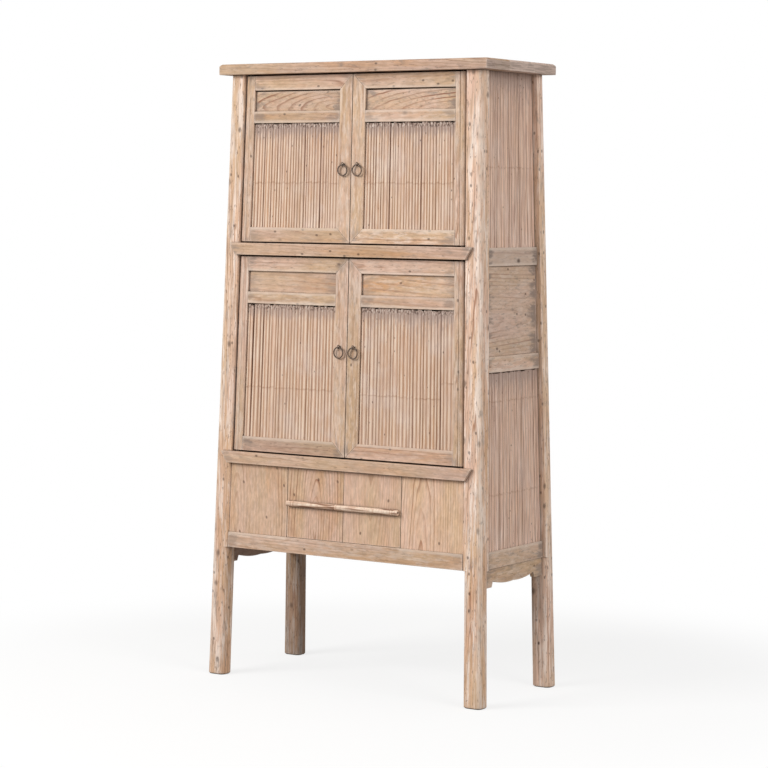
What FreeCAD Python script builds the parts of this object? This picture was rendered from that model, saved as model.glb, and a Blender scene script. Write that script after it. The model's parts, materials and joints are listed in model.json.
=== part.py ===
"""Tapered softwood cabinet with bamboo-slat doors, slatted sides and a pull-out hatch.

The four posts splay outwards on their way down, so every face of the cabinet leans.
Each piece of a face is drawn in that face's own frame: across the face, up the face by
true height, and along its outward normal, with zero at the outer faces of the posts.
The cabinet stands on z = 0 with its front towards -y, and all lengths are millimetres.
"""
import FreeCAD
import Part
import Sketcher

import os
import re
from collections import namedtuple

SIZES = {
    # Whole cabinet
    "overall_height": 1750,
    "foot_width": 921,
    "crown_width": 834,
    "foot_depth": 426,
    "crown_depth": 336,
    # Top boards
    "top_thickness": 30,
    "top_side_overhang": 26,
    "top_front_overhang": 20,
    "top_edge_round": 10,
    "top_board_gap": 0.4,
    "top_middle_board": 128,
    # Posts
    "foot_post_width": 59,
    "crown_post_width": 50,
    "foot_post_depth": 47,
    "crown_post_depth": 39,
    "post_corner_round": 17,
    "post_edge_round": 4,
    "foot_bevel": 3,
    "tenon_width": 18,
    "tenon_length": 16,
    # Fits
    "fit_clearance": 0.3,
    "groove_depth": 7,
    # Front rails
    "middle_rail_drop": 475.5,
    "middle_rail_height": 34,
    "lower_rail_drop": 1071,
    "lower_rail_height": 33,
    "bottom_rail_drop": 1303.5,
    "bottom_rail_height": 44,
    "front_rail_depth": 32,
    "rail_lap": 10,
    "lap_top_inset": 26,
    "lap_bottom_inset": 47,
    # Doors
    "door_thickness": 22,
    "door_recess": 4,
    "door_side_gap": 4,
    "door_end_gap": 4,
    "meeting_gap": 2,
    "pivot_stile_width": 31,
    "meeting_stile_width": 41,
    "door_rail_height": 41,
    "door_middle_rail_height": 33,
    "door_plank_height": 59,
    "door_plank_thickness": 8,
    "door_plank_recess": 7,
    "bead_land": 3,
    "bead_groove_width": 3,
    "bead_groove_depth": 2.5,
    "pivot_diameter": 11,
    "pivot_top_length": 10,
    "pivot_bottom_length": 8,
    "pivot_lift": 8,
    # Bamboo slats
    "upper_door_slats": 32,
    "lower_door_slats": 28,
    "upper_side_slats": 15,
    "lower_side_slats": 20,
    "slat_thickness": 5,
    "slat_crown": 1.8,
    "slat_bevel": 2.6,
    "slat_gap": 0.6,
    "slat_recess": 5,
    "batten_height": 22,
    "batten_thickness": 7,
    # Ring pulls
    "pull_offset": 24,
    "upper_pull_rise": 222,
    "lower_pull_rise": 312,
    "ring_radius": 15,
    "ring_wire": 4,
    "eye_radius": 5,
    "eye_wire": 2.6,
    "eye_standoff": 7.5,
    "eye_shank": 3.4,
    "eye_bury": 15,
    "ring_play": 0.6,
    # Sides
    "side_rail_inset": 12,
    "side_rail_thickness": 24,
    "upper_side_rail_drop": 477,
    "upper_side_rail_height": 50,
    "middle_side_rail_drop": 772,
    "middle_side_rail_height": 43,
    "bottom_side_rail_drop": 1301,
    "bottom_side_rail_height": 47,
    "side_plank_thickness": 9,
    "side_plank_recess": 6,
    "apron_thickness": 14,
    "apron_inset": 4,
    "apron_tab_drop": 51,
    "apron_tab_width": 42,
    "apron_notch_drop": 35,
    "apron_notch_width": 6,
    "apron_belly_drop": 45,
    "apron_belly_swell": 5,
    # Lower front: fixed boards and hatch
    "board_thickness": 14,
    "board_recess": 4,
    "hatch_width": 380,
    "hatch_gap": 1.5,
    "hatch_board_gap": 0.8,
    "hatch_batten_height": 30,
    "hatch_batten_thickness": 12,
    "hatch_batten_setback": 36,
    "stop_width": 44,
    "stop_overlap": 20,
    "stop_thickness": 22,
    "handle_rise": 97,
    "handle_length": 372,
    "handle_diameter": 16.5,
    "handle_node_rise": 1.3,
    "handle_node_length": 5,
    "handle_node_offset": 20,
    "handle_middle_node": 20,
    "handle_flat": 1.5,
    "peg_diameter": 5,
    "peg_setback": 9,
    "peg_bury": 10,
    # Shelves
    "shelf_thickness": 14,
    "shelf_drop": 7,
    "shelf_tongue": 7,
    "shelf_middle_board": 120,
    "shelf_board_gap": 0.6,
    "shelf_setback": 40,
    # Back
    "rear_rail_inset": 10,
    "rear_rail_thickness": 24,
    "rear_rail_height": 40,
    "back_board_thickness": 10,
    "back_board_recess": 7,
    "back_board_gap": 0.8,
    "back_boards": 5,
}

# Heights above the floor: rails hang at set drops below the top, so a change of height goes to the legs
LEVELS = {
    "underside": "(overall_height - top_thickness)",
    "middle_rail_top": "(underside - middle_rail_drop)",
    "lower_rail_top": "(underside - lower_rail_drop)",
    "bottom_rail_top": "(underside - bottom_rail_drop)",
    "upper_side_rail_top": "(underside - upper_side_rail_drop)",
    "middle_side_rail_top": "(underside - middle_side_rail_drop)",
    "bottom_side_rail_top": "(underside - bottom_side_rail_drop)",
    "upper_pull_height": "(middle_rail_top + upper_pull_rise)",
    "lower_pull_height": "(lower_rail_top + lower_pull_rise)",
    "handle_height": "(bottom_rail_top + handle_rise)",
    "leg_top": "(bottom_side_rail_top - bottom_side_rail_height)",
}

doc = FreeCAD.newDocument("bamboo_cabinet")
sheet = doc.addObject("Spreadsheet::Sheet", "Sizes")
for row, (alias, value) in enumerate(SIZES.items(), start=1):
    sheet.set(f"A{row}", alias)
    sheet.set(f"B{row}", str(value))
    sheet.setAlias(f"B{row}", alias)
doc.recompute()

nodes = {}
NEAR = 0.01  # how closely a drawn point counts as being on a line


def cells(text):
    """Point each size named in a formula at its cell of the sheet, and write levels out in sizes."""
    def cell(word):
        name = word[0]
        if name in LEVELS:
            return cells(LEVELS[name])
        return "Sizes." + name if name in SIZES else name

    return re.sub(r"[a-z_]+", cell, text)


def number(text):
    """Work out a formula with the sheet's present sizes."""
    return float(sheet.evalExpression(cells(text)))


def bind(thing, prop, text):
    thing.setExpression(prop, cells(text))


def keep(thing, label):
    """Name a finished sub-part and list it for writing."""
    thing.Label = label
    nodes[label] = thing
    return thing


# Lines that the splayed posts give to everything between them, as formulas of height

def tapered(at_foot, at_crown, height):
    return f"({at_foot} - ({at_foot} - ({at_crown})) * ({height}) / underside)"


def half_width(height):
    return tapered("foot_width / 2", "crown_width / 2", height)


def half_depth(height):
    return tapered("foot_depth / 2", "crown_depth / 2", height)


def front_edge(height):
    """Half the clear width between the posts, across the front or the back."""
    return tapered("(foot_width / 2 - foot_post_width)", "(crown_width / 2 - crown_post_width)", height)


def side_edge(height):
    """Half the clear depth between the posts, along a side."""
    return tapered("(foot_depth / 2 - foot_post_depth)", "(crown_depth / 2 - crown_post_depth)", height)


# Frames of the four leaning faces, and the level frame

Face = namedtuple("Face", "turn reach lean")
FRONT_LEAN = f"atan((foot_depth - crown_depth) / 2 / underside)"
SIDE_LEAN = f"atan((foot_width - crown_width) / 2 / underside)"
FRONT = Face(0, "foot_depth / 2", FRONT_LEAN)
RIGHT = Face(90, "foot_width / 2", SIDE_LEAN)
BACK = Face(180, "foot_depth / 2", FRONT_LEAN)
LEFT = Face(270, "foot_width / 2", SIDE_LEAN)
LEVEL = Face(0, "0", "90 deg")


def frame_of(face):
    stood_up = f"placement(vector(0; -({face.reach}); 0); rotation(0; 0; 90 deg - {face.lean}))"
    return f"placement(vector(0; 0; 0); rotation({face.turn}; 0; 0)) * {stood_up}"


def up(face, height):
    """Distance up a leaning face that reaches a true height."""
    return height if face is LEVEL else f"({height}) / cos({face.lean})"


def level_at(face, height, depth):
    """Height on the face whose square line meets a true height at a depth behind the face."""
    return f"({height} + ({depth}) * sin({face.lean}))"


def placed(face, across, height, outward, rotation="rotation(0; 0; 0)"):
    return f"{frame_of(face)} * placement(vector({across}; {up(face, height)}; {outward}); {rotation})"


# Sketched plates

Layer = namedtuple("Layer", "kind outline back front")


def pad(outline, back, front):
    return Layer("Pad", outline, back, front)


def pocket(outline, back, front):
    return Layer("Pocket", outline, back, front)


def base_plane(body):
    return next(f for f in body.Origin.OriginFeatures if f.Role == "XY_Plane")


def outline_sketch(body, face, outline, outward):
    """Draw a closed outline whose corners, and the swell of its arcs, follow the sheet.

    A corner is (across, height) or (across, height, swell), where swell bows the edge to
    the next corner outwards.
    """
    sketch = body.newObject("Sketcher::SketchObject", "Outline")
    sketch.AttachmentSupport = [(base_plane(body), "")]
    sketch.MapMode = "FlatFace"
    bind(sketch, "AttachmentOffset.Base.z", outward)
    corners = [(corner[0], up(face, corner[1])) for corner in outline]
    points = [FreeCAD.Vector(number(across), number(along), 0) for across, along in corners]
    count = len(points)
    for index, corner in enumerate(outline):
        start, end = points[index], points[(index + 1) % count]
        if len(corner) == 2:
            sketch.addGeometry(Part.LineSegment(start, end))
            continue
        run = end - start
        middle = (start + end) / 2 + FreeCAD.Vector(run.y, -run.x, 0).normalize() * number(corner[2])
        sketch.addGeometry(Part.Arc(start, middle, end))
    sketch.addConstraint([Sketcher.Constraint("Coincident", index, 2, (index + 1) % count, 1)
                          for index in range(count)])
    sized = []
    for index, corner in enumerate(corners):
        for kind, text, at in zip(("DistanceX", "DistanceY"), corner, (points[index].x, points[index].y)):
            sized.append((Sketcher.Constraint(kind, -1, 1, index, 1, at), text))
        if len(outline[index]) == 3:
            (x0, y0), (x1, y1) = corner, corners[(index + 1) % count]
            swell = outline[index][2]
            radius = f"((({x1} - ({x0}))^2 + ({y1} - ({y0}))^2) / 4 + ({swell})^2) / 2 / ({swell})"
            sized.append((Sketcher.Constraint("Radius", index, number(radius)), radius))
    sketch.addConstraint([mark for mark, text in sized])
    for index, (mark, text) in enumerate(sized, start=count):
        bind(sketch, f"Constraints[{index}]", text)
    return sketch


def plate(label, face, layers):
    """Build a body from pads and pockets that lie in one face's frame."""
    body = doc.addObject("PartDesign::Body", label)
    body.Label = label
    for layer in layers:
        sketch_at = layer.back if layer.kind == "Pad" else layer.front
        sketch = outline_sketch(body, face, layer.outline, sketch_at)
        feature = body.newObject("PartDesign::" + layer.kind, layer.kind)
        feature.Profile = sketch
        bind(feature, "Length", f"{layer.front} - ({layer.back})")
    bind(body, "Placement", frame_of(face))
    return body


def band(low, high, left, right, mirror=1):
    """Four-sided outline between two heights and two edges given as formulas of height."""
    return [(f"{mirror} * ({left(low)})", low), (f"{mirror} * ({right(low)})", low),
            (f"{mirror} * ({right(high)})", high), (f"{mirror} * ({left(high)})", high)]


def span(low, high, edge):
    """Outline between two heights that reaches an edge on both hands."""
    return band(low, high, lambda height: f"-1 * {edge(height)}", edge)


def rectangle(left, right, near, far):
    return [(left, near), (right, near), (right, far), (left, far)]


def rod(label, diameter, length, placement):
    thing = doc.addObject("Part::Cylinder", label)
    thing.Label = label
    bind(thing, "Radius", f"({diameter}) / 2")
    bind(thing, "Height", length)
    bind(thing, "Placement", placement)
    return thing


def bar(label, sides, radius, length, placement):
    """A regular many-sided bar along its own z axis."""
    thing = doc.addObject("Part::Prism", label)
    thing.Label = label
    thing.Polygon = sides
    bind(thing, "Circumradius", radius)
    bind(thing, "Height", length)
    bind(thing, "Placement", placement)
    return thing


def fused(label, things):
    whole = doc.addObject("Part::MultiFuse", label)
    whole.Shapes = things
    return whole


def drilled(label, base, holes):
    """Take a set of holes out of a piece."""
    base.Label = label + " blank"
    tools = doc.addObject("Part::Compound", label + "_holes")
    tools.Links = holes
    cut = doc.addObject("Part::Cut", label)
    cut.Base = base
    cut.Tool = tools
    return cut


def edges_where(feature, test):
    return [f"Edge{index}" for index, edge in enumerate(feature.Shape.Edges, start=1) if test(edge)]


def dressed(body, kind, test, prop, text):
    """Round or bevel the edges of a body that pass a test."""
    base = body.Tip
    base.recompute(True)
    feature = body.newObject("PartDesign::" + kind, kind)
    feature.Base = (base, edges_where(base, test))
    bind(feature, prop, text)
    return feature


def hoop(label, radius, wire, sides, placement):
    """A forged ring: a many-sided loop of bar whose corners are hammered to an eight-sided section."""
    half = f"({wire} / 2)"
    body = doc.addObject("PartDesign::Body", label)
    for kind, reach in (("Additive", f"{radius} + {half}"), ("Subtractive", f"{radius} - {half}")):
        prism = body.newObject(f"PartDesign::{kind}Prism", kind)
        prism.Polygon = sides
        bind(prism, "Circumradius", reach)
        bind(prism, "Height", wire)
        bind(prism, "Placement.Base.z", f"-1 * {half}")
    hammered = f"{wire} * (1 - tan(22.5 deg)) / 2"
    dressed(body, "Chamfer", lambda edge: edge.BoundBox.ZLength < NEAR, "Size", hammered)
    bind(body, "Placement", placement)
    return body


# Posts: round outside and square inside between the rails, round all over below them


def rounded(corners):
    """Turn square corners (across, along, radius) into arcs; the inside must be on the left."""
    outline = []
    for index, (across, along, radius) in enumerate(corners):
        tangents = []
        for other in (corners[index - 1], corners[(index + 1) % len(corners)]):
            run_x = round(number(f"{other[0]} - ({across})"), 3)
            run_y = round(number(f"{other[1]} - ({along})"), 3)
            toward_x, toward_y = (run_x > 0) - (run_x < 0), (run_y > 0) - (run_y < 0)
            tangents.append((f"{across} + {toward_x} * ({radius})", f"{along} + {toward_y} * ({radius})"))
        outline += [(*tangents[0], f"({radius}) * (1 - cos(45 deg))"), tangents[1]]
    return outline


def post(label, hand, end):
    """One splayed post; hand is -1 left or 1 right, end is -1 front or 1 rear."""
    body = doc.addObject("PartDesign::Body", label)

    def section(height, inset, edge_round):
        """A level outline; the outer corner has the large round, the other corners the given one."""
        out_x = f"{hand} * ({half_width(height)} - {inset})"
        in_x = f"{hand} * ({front_edge(height)} + {inset})"
        out_y = f"{end} * ({half_depth(height)} - {inset})"
        in_y = f"{end} * ({side_edge(height)} + {inset})"
        corners = [(out_x, out_y, "post_corner_round"), (in_x, out_y, edge_round),
                   (in_x, in_y, edge_round), (out_x, in_y, edge_round)]
        if hand * end < 0:
            corners = corners[:1] + corners[:0:-1]
        return outline_sketch(body, LEVEL, rounded(corners), height)

    def stretch(name, sections):
        loft = body.newObject("PartDesign::AdditiveLoft", name)
        loft.Profile, loft.Sections = sections[0], sections[1:]
        loft.Ruled = True

    leg = [("0", "foot_bevel"), ("foot_bevel", "0"), ("leg_top", "0")]
    stretch("Leg", [section(height, inset, "post_corner_round") for height, inset in leg])
    stretch("Case", [section(height, "0", "post_edge_round") for height in ("leg_top", "underside")])
    tenon = body.newObject("PartDesign::Pad", "Tenon")
    tenon.Profile = outline_sketch(body, LEVEL, tenon_outline(hand, end, "0"), "underside")
    bind(tenon, "Length", "tenon_length")
    keep(body, label)


def tenon_outline(hand, end, clearance):
    reach = f"(tenon_width / 2 + {clearance})"
    across = f"{hand} * (crown_width - crown_post_width) / 2"
    along = f"{end} * (crown_depth - crown_post_depth) / 2"
    return rectangle(f"{across} - {reach}", f"{across} + {reach}",
                     f"{along} - {reach}", f"{along} + {reach}")


HANDS = {"left": -1, "right": 1}
ENDS = {"front": -1, "rear": 1}
for end_name, end in ENDS.items():
    for hand_name, hand in HANDS.items():
        post(f"{end_name}_{hand_name}_post", hand, end)

# Doors

DOOR_MIDDLE = "-(door_recess + door_thickness / 2)"
DOOR_FRONT = "-door_recess"
DOOR_BACK = "-(door_recess + door_thickness)"
PLANK_FRONT = "-(door_recess + door_plank_recess)"
PLANK_BACK = f"({PLANK_FRONT} - door_plank_thickness)"
SLAT_FRONT = "-(door_recess + slat_recess)"
SLAT_BACK = f"({SLAT_FRONT} - slat_thickness)"
TONGUE = "(groove_depth - fit_clearance)"
FREE_EDGE = "(meeting_gap / 2)"
MEETING_INNER = f"({FREE_EDGE} + meeting_stile_width)"
RING_DROP = "(ring_radius + eye_radius - (eye_wire + ring_wire) / 2 - ring_play)"
RING_SIDES = 20
EYE_SIDES = 12
PIVOT_TILT = f"atan(({front_edge('0')} - {front_edge('underside')}) / underside * cos({FRONT_LEAN}))"
TIERS = {
    "upper": ("(middle_rail_top + door_end_gap)", f"(underside - door_end_gap)"),
    "lower": ("(lower_rail_top + door_end_gap)", "(middle_rail_top - middle_rail_height - door_end_gap)"),
}


def meeting_inner(height):
    return MEETING_INNER


def pivot_line(height):
    return f"({front_edge(height)} - door_side_gap - door_thickness / 2)"


def pivot_inner(height):
    return f"({front_edge(height)} - door_side_gap - pivot_stile_width)"


def moved(edge, shift):
    return lambda height: f"({edge(height)} + {shift})"


def along_pivot(hand, low, high, diameter, label):
    """A rod on a door's slanting pivot line between two heights."""
    turn = f"rotation({hand} * {PIVOT_TILT}; 0; -90)"
    place = placed(FRONT, f"{hand} * {pivot_line(low)}", low, DOOR_MIDDLE, turn)
    return rod(label, diameter, f"({high} - ({low})) / cos({FRONT_LEAN}) / cos({PIVOT_TILT})", place)


def slat_fan(label, face, count, left, right, low, high, back):
    """Bamboo slats side by side, flat behind and crowned in front, fanning between two edges."""
    v_low, v_high, w_back = number(up(face, low)), number(up(face, high)), number(back)
    half_gap, bevel = number("slat_gap") / 2, number("slat_bevel")
    w_front = w_back + number("slat_thickness")
    shoulder = w_front - number("slat_crown")
    total = round(number(count))

    def section(index, v, height):
        start, end = number(left(height)), number(right(height))
        pitch = (end - start) / total
        u0 = start + index * pitch + half_gap
        u1 = start + (index + 1) * pitch - half_gap
        outline = [(u0, w_back), (u1, w_back), (u1, shoulder), (u1 - bevel, w_front),
                   (u0 + bevel, w_front), (u0, shoulder), (u0, w_back)]
        return Part.makePolygon([FreeCAD.Vector(u, v, w) for u, w in outline])

    slats = [Part.makeLoft([section(index, v_low, low), section(index, v_high, high)], True, True)
             for index in range(total)]
    fan = doc.addObject("Part::Feature", label)
    fan.Shape = Part.makeCompound(slats)
    bind(fan, "Placement", frame_of(face))
    keep(fan, label)


def door(tier, hand_name, hand):
    name = f"{tier}_{hand_name}"
    low, high = TIERS[tier]
    plank_top = f"({high} - door_rail_height)"
    plank_bottom = f"({plank_top} - door_plank_height)"
    slat_top = f"({plank_bottom} - door_middle_rail_height)"
    slat_bottom = f"({low} + door_rail_height)"
    plank_slot = (f"{PLANK_BACK} - fit_clearance", f"{PLANK_FRONT} + fit_clearance")
    slat_slot = (f"{SLAT_BACK} - fit_clearance", f"{SLAT_FRONT} + fit_clearance")

    def strip(bottom, top, left, right):
        return band(bottom, top, left, right, hand)

    def between(bottom, top):
        return strip(bottom, top, meeting_inner, pivot_inner)

    def plank_outline(entry):
        """The plank's opening, widened all round by how far it enters the frame."""
        return strip(f"({plank_bottom} - {entry})", f"({plank_top} + {entry})",
                     moved(meeting_inner, f"-1 * {entry}"), moved(pivot_inner, entry))

    plank_room = plank_outline("groove_depth")

    # Pivot stile: a flat part and a round bead on the pivot line, with wooden pivots at both ends
    bead_line = moved(pivot_line, "-1 * bead_land")
    groove_line = moved(bead_line, "-1 * bead_groove_width")
    stile = plate(name + "_pivot_stile_flat", FRONT, [
        pad(strip(low, high, pivot_inner, pivot_line), DOOR_BACK, DOOR_FRONT),
        pocket(strip(f"{low} - door_end_gap", f"{high} + door_end_gap", groove_line, bead_line),
               f"{DOOR_FRONT} - bead_groove_depth", DOOR_FRONT),
        pocket(plank_room, *plank_slot),
    ])
    bead = along_pivot(hand, low, high, "door_thickness", name + "_bead")
    pivot_low = f"({low} - door_end_gap - pivot_bottom_length)"
    pivot_high = f"({high} + door_end_gap + pivot_top_length)"
    pivots = along_pivot(hand, pivot_low, pivot_high, "pivot_diameter", name + "_pivots")
    keep(fused(name + "_pivot_stile", [stile, bead, pivots]), name + "_pivot_stile")

    # Meeting stile, mitred to the top and bottom rails and pierced for the ring's eye
    mitred = [(f"{hand} * {FREE_EDGE}", low), (f"{hand} * {FREE_EDGE}", high),
              (f"{hand} * {MEETING_INNER}", plank_top), (f"{hand} * {MEETING_INNER}", slat_bottom)]
    pull_height = f"{tier}_pull_height"
    pull_across = f"{hand} * pull_offset"

    def shank_outline(reach):
        return rectangle(f"{pull_across} - {reach}", f"{pull_across} + {reach}",
                         f"{pull_height} - {reach}", f"{pull_height} + {reach}")

    stile = plate(name + "_meeting_stile", FRONT, [
        pad(mitred, DOOR_BACK, DOOR_FRONT),
        pocket(plank_room, *plank_slot),
        pocket(shank_outline("(eye_shank / 2 + fit_clearance)"),
               f"{DOOR_FRONT} - eye_bury - fit_clearance", DOOR_FRONT),
    ])
    keep(stile, name + "_meeting_stile")

    # Top, middle and bottom rails, and the batten that ties the slats together behind
    def mitred_rail(outer, inner):
        return [(f"{hand} * {FREE_EDGE}", outer), (f"{hand} * {MEETING_INNER}", inner),
                (f"{hand} * {pivot_inner(inner)}", inner), (f"{hand} * {pivot_inner(outer)}", outer)]

    batten_low = f"(({slat_top} + {slat_bottom} - batten_height) / 2)"
    rails = plate(name + "_door_rails", FRONT, [
        pad(mitred_rail(high, plank_top), DOOR_BACK, DOOR_FRONT),
        pad(between(slat_top, plank_bottom), DOOR_BACK, DOOR_FRONT),
        pad(mitred_rail(low, slat_bottom), DOOR_BACK, DOOR_FRONT),
        pad(between(batten_low, f"({batten_low} + batten_height)"),
            f"{SLAT_BACK} - batten_thickness", SLAT_BACK),
        pocket(plank_room, *plank_slot),
        pocket(between(slat_top, f"({slat_top} + groove_depth)"), *slat_slot),
        pocket(between(f"({slat_bottom} - groove_depth)", slat_bottom), *slat_slot),
    ])
    keep(rails, name + "_door_rails")

    # Recessed plank in the grooves, and the bamboo slats below it
    plank = plate(name + "_door_plank", FRONT, [pad(plank_outline(TONGUE), PLANK_BACK, PLANK_FRONT)])
    keep(plank, name + "_door_plank")
    edges = sorted((meeting_inner, pivot_inner), key=lambda edge: hand * number(edge(low)))
    left, right = [lambda height, edge=edge: f"{hand} * {edge(height)}" for edge in edges]
    slat_fan(name + "_door_slats", FRONT, f"{tier}_door_slats", left, right,
             f"({slat_bottom} - {TONGUE})", f"({slat_top} + {TONGUE})", SLAT_BACK)

    # Iron eye driven into the meeting stile, and the ring that hangs in it
    eye_out = f"({DOOR_FRONT} + eye_standoff)"
    loop = hoop(name + "_eye_loop", "eye_radius", "eye_wire", EYE_SIDES,
                placed(FRONT, pull_across, pull_height, eye_out, "rotation(0; 90; 0)"))
    shank = plate(name + "_eye_shank", FRONT, [
        pad(shank_outline("(eye_shank / 2)"), f"{DOOR_FRONT} - eye_bury", f"{eye_out} - eye_radius"),
    ])
    keep(fused(name + "_pull_eye", [loop, shank]), name + "_pull_eye")
    plumb = f"placement(vector(0; 0; 0); rotation(0; 0; {FRONT_LEAN}))"
    hung = f"placement(vector(0; -{RING_DROP}; 0); rotation(0; 0; 0))"
    ring = hoop(name + "_pull_ring", "ring_radius", "ring_wire", RING_SIDES,
                f"{placed(FRONT, pull_across, pull_height, eye_out)} * {plumb} * {hung}")
    keep(ring, name + "_pull_ring")


for tier in TIERS:
    for hand_name, hand in HANDS.items():
        door(tier, hand_name, hand)


def pivot_holes(tier, at_top):
    """Sockets for one end of both pivots of a tier; the upper ones leave room to lift a door in."""
    low, high = TIERS[tier]
    reach = "(door_end_gap + pivot_bottom_length + fit_clearance)"
    lift = "(door_end_gap + pivot_top_length + pivot_lift)"
    ends = (high, f"({high} + {lift})") if at_top else (f"({low} - {reach})", low)
    return [along_pivot(hand, *ends, "pivot_diameter + 2 * fit_clearance", f"{tier}_{hand_name}_socket")
            for hand_name, hand in HANDS.items()]


# Front rails: the two between doors lap over the posts with tapered ends


def lapped_rail(label, top, height, holes, slots):
    bottom = f"({top} - {height})"
    low_end = f"({half_width(bottom)} - lap_bottom_inset)"
    high_end = f"({half_width(top)} - lap_top_inset)"
    lap = [(f"-1 * {low_end}", bottom), (low_end, bottom), (high_end, top), (f"-1 * {high_end}", top)]
    rail = plate(label + "_body", FRONT, [
        pad(span(bottom, top, front_edge), "-front_rail_depth", "0"),
        pad(lap, "0", "rail_lap"),
        shelf_groove(FRONT, top, front_edge, "front_rail_depth"),
        *slots,
    ])
    keep(drilled(label, rail, holes), label)


def shelf_groove(face, rail_top, edge, inner_depth):
    """Groove along the inside of a rail for a shelf's tongue."""
    depth = f"({inner_depth} - shelf_tongue / 2)"
    high = level_at(face, f"({rail_top} - shelf_drop + fit_clearance)", depth)
    low = level_at(face, f"({rail_top} - shelf_drop - shelf_thickness - fit_clearance)", depth)
    inner = f"-({inner_depth})"
    return pocket(span(low, high, edge), inner, f"{inner} + shelf_tongue + fit_clearance")


BOARD_FRONT = "-board_recess"
BOARD_BACK = f"({BOARD_FRONT} - board_thickness)"
BOARD_SLOT = (f"{BOARD_BACK} - fit_clearance", f"{BOARD_FRONT} + fit_clearance")
HATCH_EDGE = "(hatch_width / 2)"


def hatch_edge(height):
    return f"({HATCH_EDGE} + hatch_gap)"


LOWER_RAIL_BOTTOM = "(lower_rail_top - lower_rail_height)"
BOTTOM_RAIL_BOTTOM = "(bottom_rail_top - bottom_rail_height)"


def board_slots(low, high):
    """Grooves in a rail for the ends of the two fixed boards."""
    return [pocket(band(low, high, hatch_edge, front_edge, hand), *BOARD_SLOT) for hand in HANDS.values()]


under_slots = board_slots(LOWER_RAIL_BOTTOM, f"({LOWER_RAIL_BOTTOM} + groove_depth)")
over_slots = board_slots("(bottom_rail_top - groove_depth)", "bottom_rail_top")
lapped_rail("front_middle_rail", "middle_rail_top", "middle_rail_height",
            pivot_holes("upper", False) + pivot_holes("lower", True), [])
lapped_rail("front_lower_rail", "lower_rail_top", "lower_rail_height",
            pivot_holes("lower", False), under_slots)
keep(plate("front_bottom_rail", FRONT, [
    pad(span(BOTTOM_RAIL_BOTTOM, "bottom_rail_top", front_edge), "-front_rail_depth", "0"),
    shelf_groove(FRONT, "bottom_rail_top", front_edge, "front_rail_depth"),
    *over_slots,
]), "front_bottom_rail")

# Lower front: a fixed board each side, stops behind the joints, and the hatch between them

keep(plate("front_fixed_boards", FRONT, [
    pad(band(f"(bottom_rail_top - {TONGUE})", f"({LOWER_RAIL_BOTTOM} + {TONGUE})", hatch_edge,
             moved(front_edge, "-1 * fit_clearance"), hand), BOARD_BACK, BOARD_FRONT)
    for hand in HANDS.values()
]), "front_fixed_boards")

STOP_INNER = f"({HATCH_EDGE} - stop_overlap)"
STOP_FRONT = f"({BOARD_BACK} - fit_clearance)"
STOP_OUTER = f"({STOP_INNER} + stop_width)"
keep(plate("hatch_stops", FRONT, [
    pad(band("bottom_rail_top", LOWER_RAIL_BOTTOM, lambda height: STOP_INNER, lambda height: STOP_OUTER,
             hand), f"{STOP_FRONT} - stop_thickness", STOP_FRONT)
    for hand in HANDS.values()
]), "hatch_stops")

HATCH_LOW = "(bottom_rail_top + fit_clearance)"
HATCH_HIGH = f"({LOWER_RAIL_BOTTOM} - hatch_gap)"
HANDLE_AXIS = f"({BOARD_FRONT} + handle_diameter / 2 - handle_flat)"
PEG_ACROSS = "(handle_length / 2 - peg_setback)"
PEG_SIDES = 8
CULM_SIDES = 10


def hatch_pegs(label, clearance):
    """Whittled pegs through both ends of the handle, or the holes that they fill."""
    length = f"peg_bury + handle_diameter - handle_flat + 2 * {clearance}"
    back = f"{BOARD_FRONT} - peg_bury - {clearance}"
    return [bar(f"{side}_{label}", PEG_SIDES, f"peg_diameter / 2 + {clearance}", length,
                placed(FRONT, f"{hand} * {PEG_ACROSS}", "handle_height", back))
            for side, hand in HANDS.items()]


hatch = plate("hatch_boards_body", FRONT, [
    pad(band(HATCH_LOW, HATCH_HIGH, lambda height: "(hatch_board_gap / 2)", lambda height: HATCH_EDGE,
             hand), BOARD_BACK, BOARD_FRONT)
    for hand in HANDS.values()
])
keep(drilled("hatch_boards", hatch, hatch_pegs("board_peg_hole", "fit_clearance")), "hatch_boards")

batten_edge = f"({STOP_INNER} - hatch_gap - fit_clearance)"
batten_bottoms = [f"({HATCH_LOW} + hatch_batten_setback)",
                  f"({HATCH_HIGH} - hatch_batten_setback - hatch_batten_height)"]
keep(plate("hatch_battens", FRONT, [
    pad(span(bottom, f"({bottom} + hatch_batten_height)", lambda height: batten_edge),
        f"{BOARD_BACK} - hatch_batten_thickness", BOARD_BACK)
    for bottom in batten_bottoms
]), "hatch_battens")


def culm_length(label, radius, left, right):
    """A stretch of bamboo culm that lies along the handle's axis."""
    across = placed(FRONT, left, "handle_height", HANDLE_AXIS, "rotation(0; 90; 0)")
    return bar(label, CULM_SIDES, radius, f"{right} - ({left})", across)


half_handle, culm_radius = "(handle_length / 2)", "(handle_diameter / 2)"
node_middles = [f"(handle_node_offset - {half_handle})", "(-1 * handle_middle_node)",
                f"({half_handle} - handle_node_offset)"]
culm = [culm_length("culm", culm_radius, f"-1 * {half_handle}", half_handle)]
culm += [culm_length("culm_node", f"{culm_radius} + handle_node_rise", f"{middle} - handle_node_length / 2",
                     f"{middle} + handle_node_length / 2") for middle in node_middles]
planed_off = plate("handle_planed_off", FRONT, [
    pad(rectangle(f"-1 * {half_handle}", half_handle, "handle_height - handle_diameter",
                  "handle_height + handle_diameter"), BOARD_BACK, BOARD_FRONT),
])
handle = drilled("hatch_handle", fused("hatch_handle_culm", culm),
                 [planed_off] + hatch_pegs("handle_peg_hole", "fit_clearance"))
keep(handle, "hatch_handle")
pegs = doc.addObject("Part::Compound", "handle_pegs")
pegs.Links = hatch_pegs("peg", "0")
keep(pegs, "handle_pegs")

# Sides: rails, slats above and below a plank, and a shaped apron under the bottom rail

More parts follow.
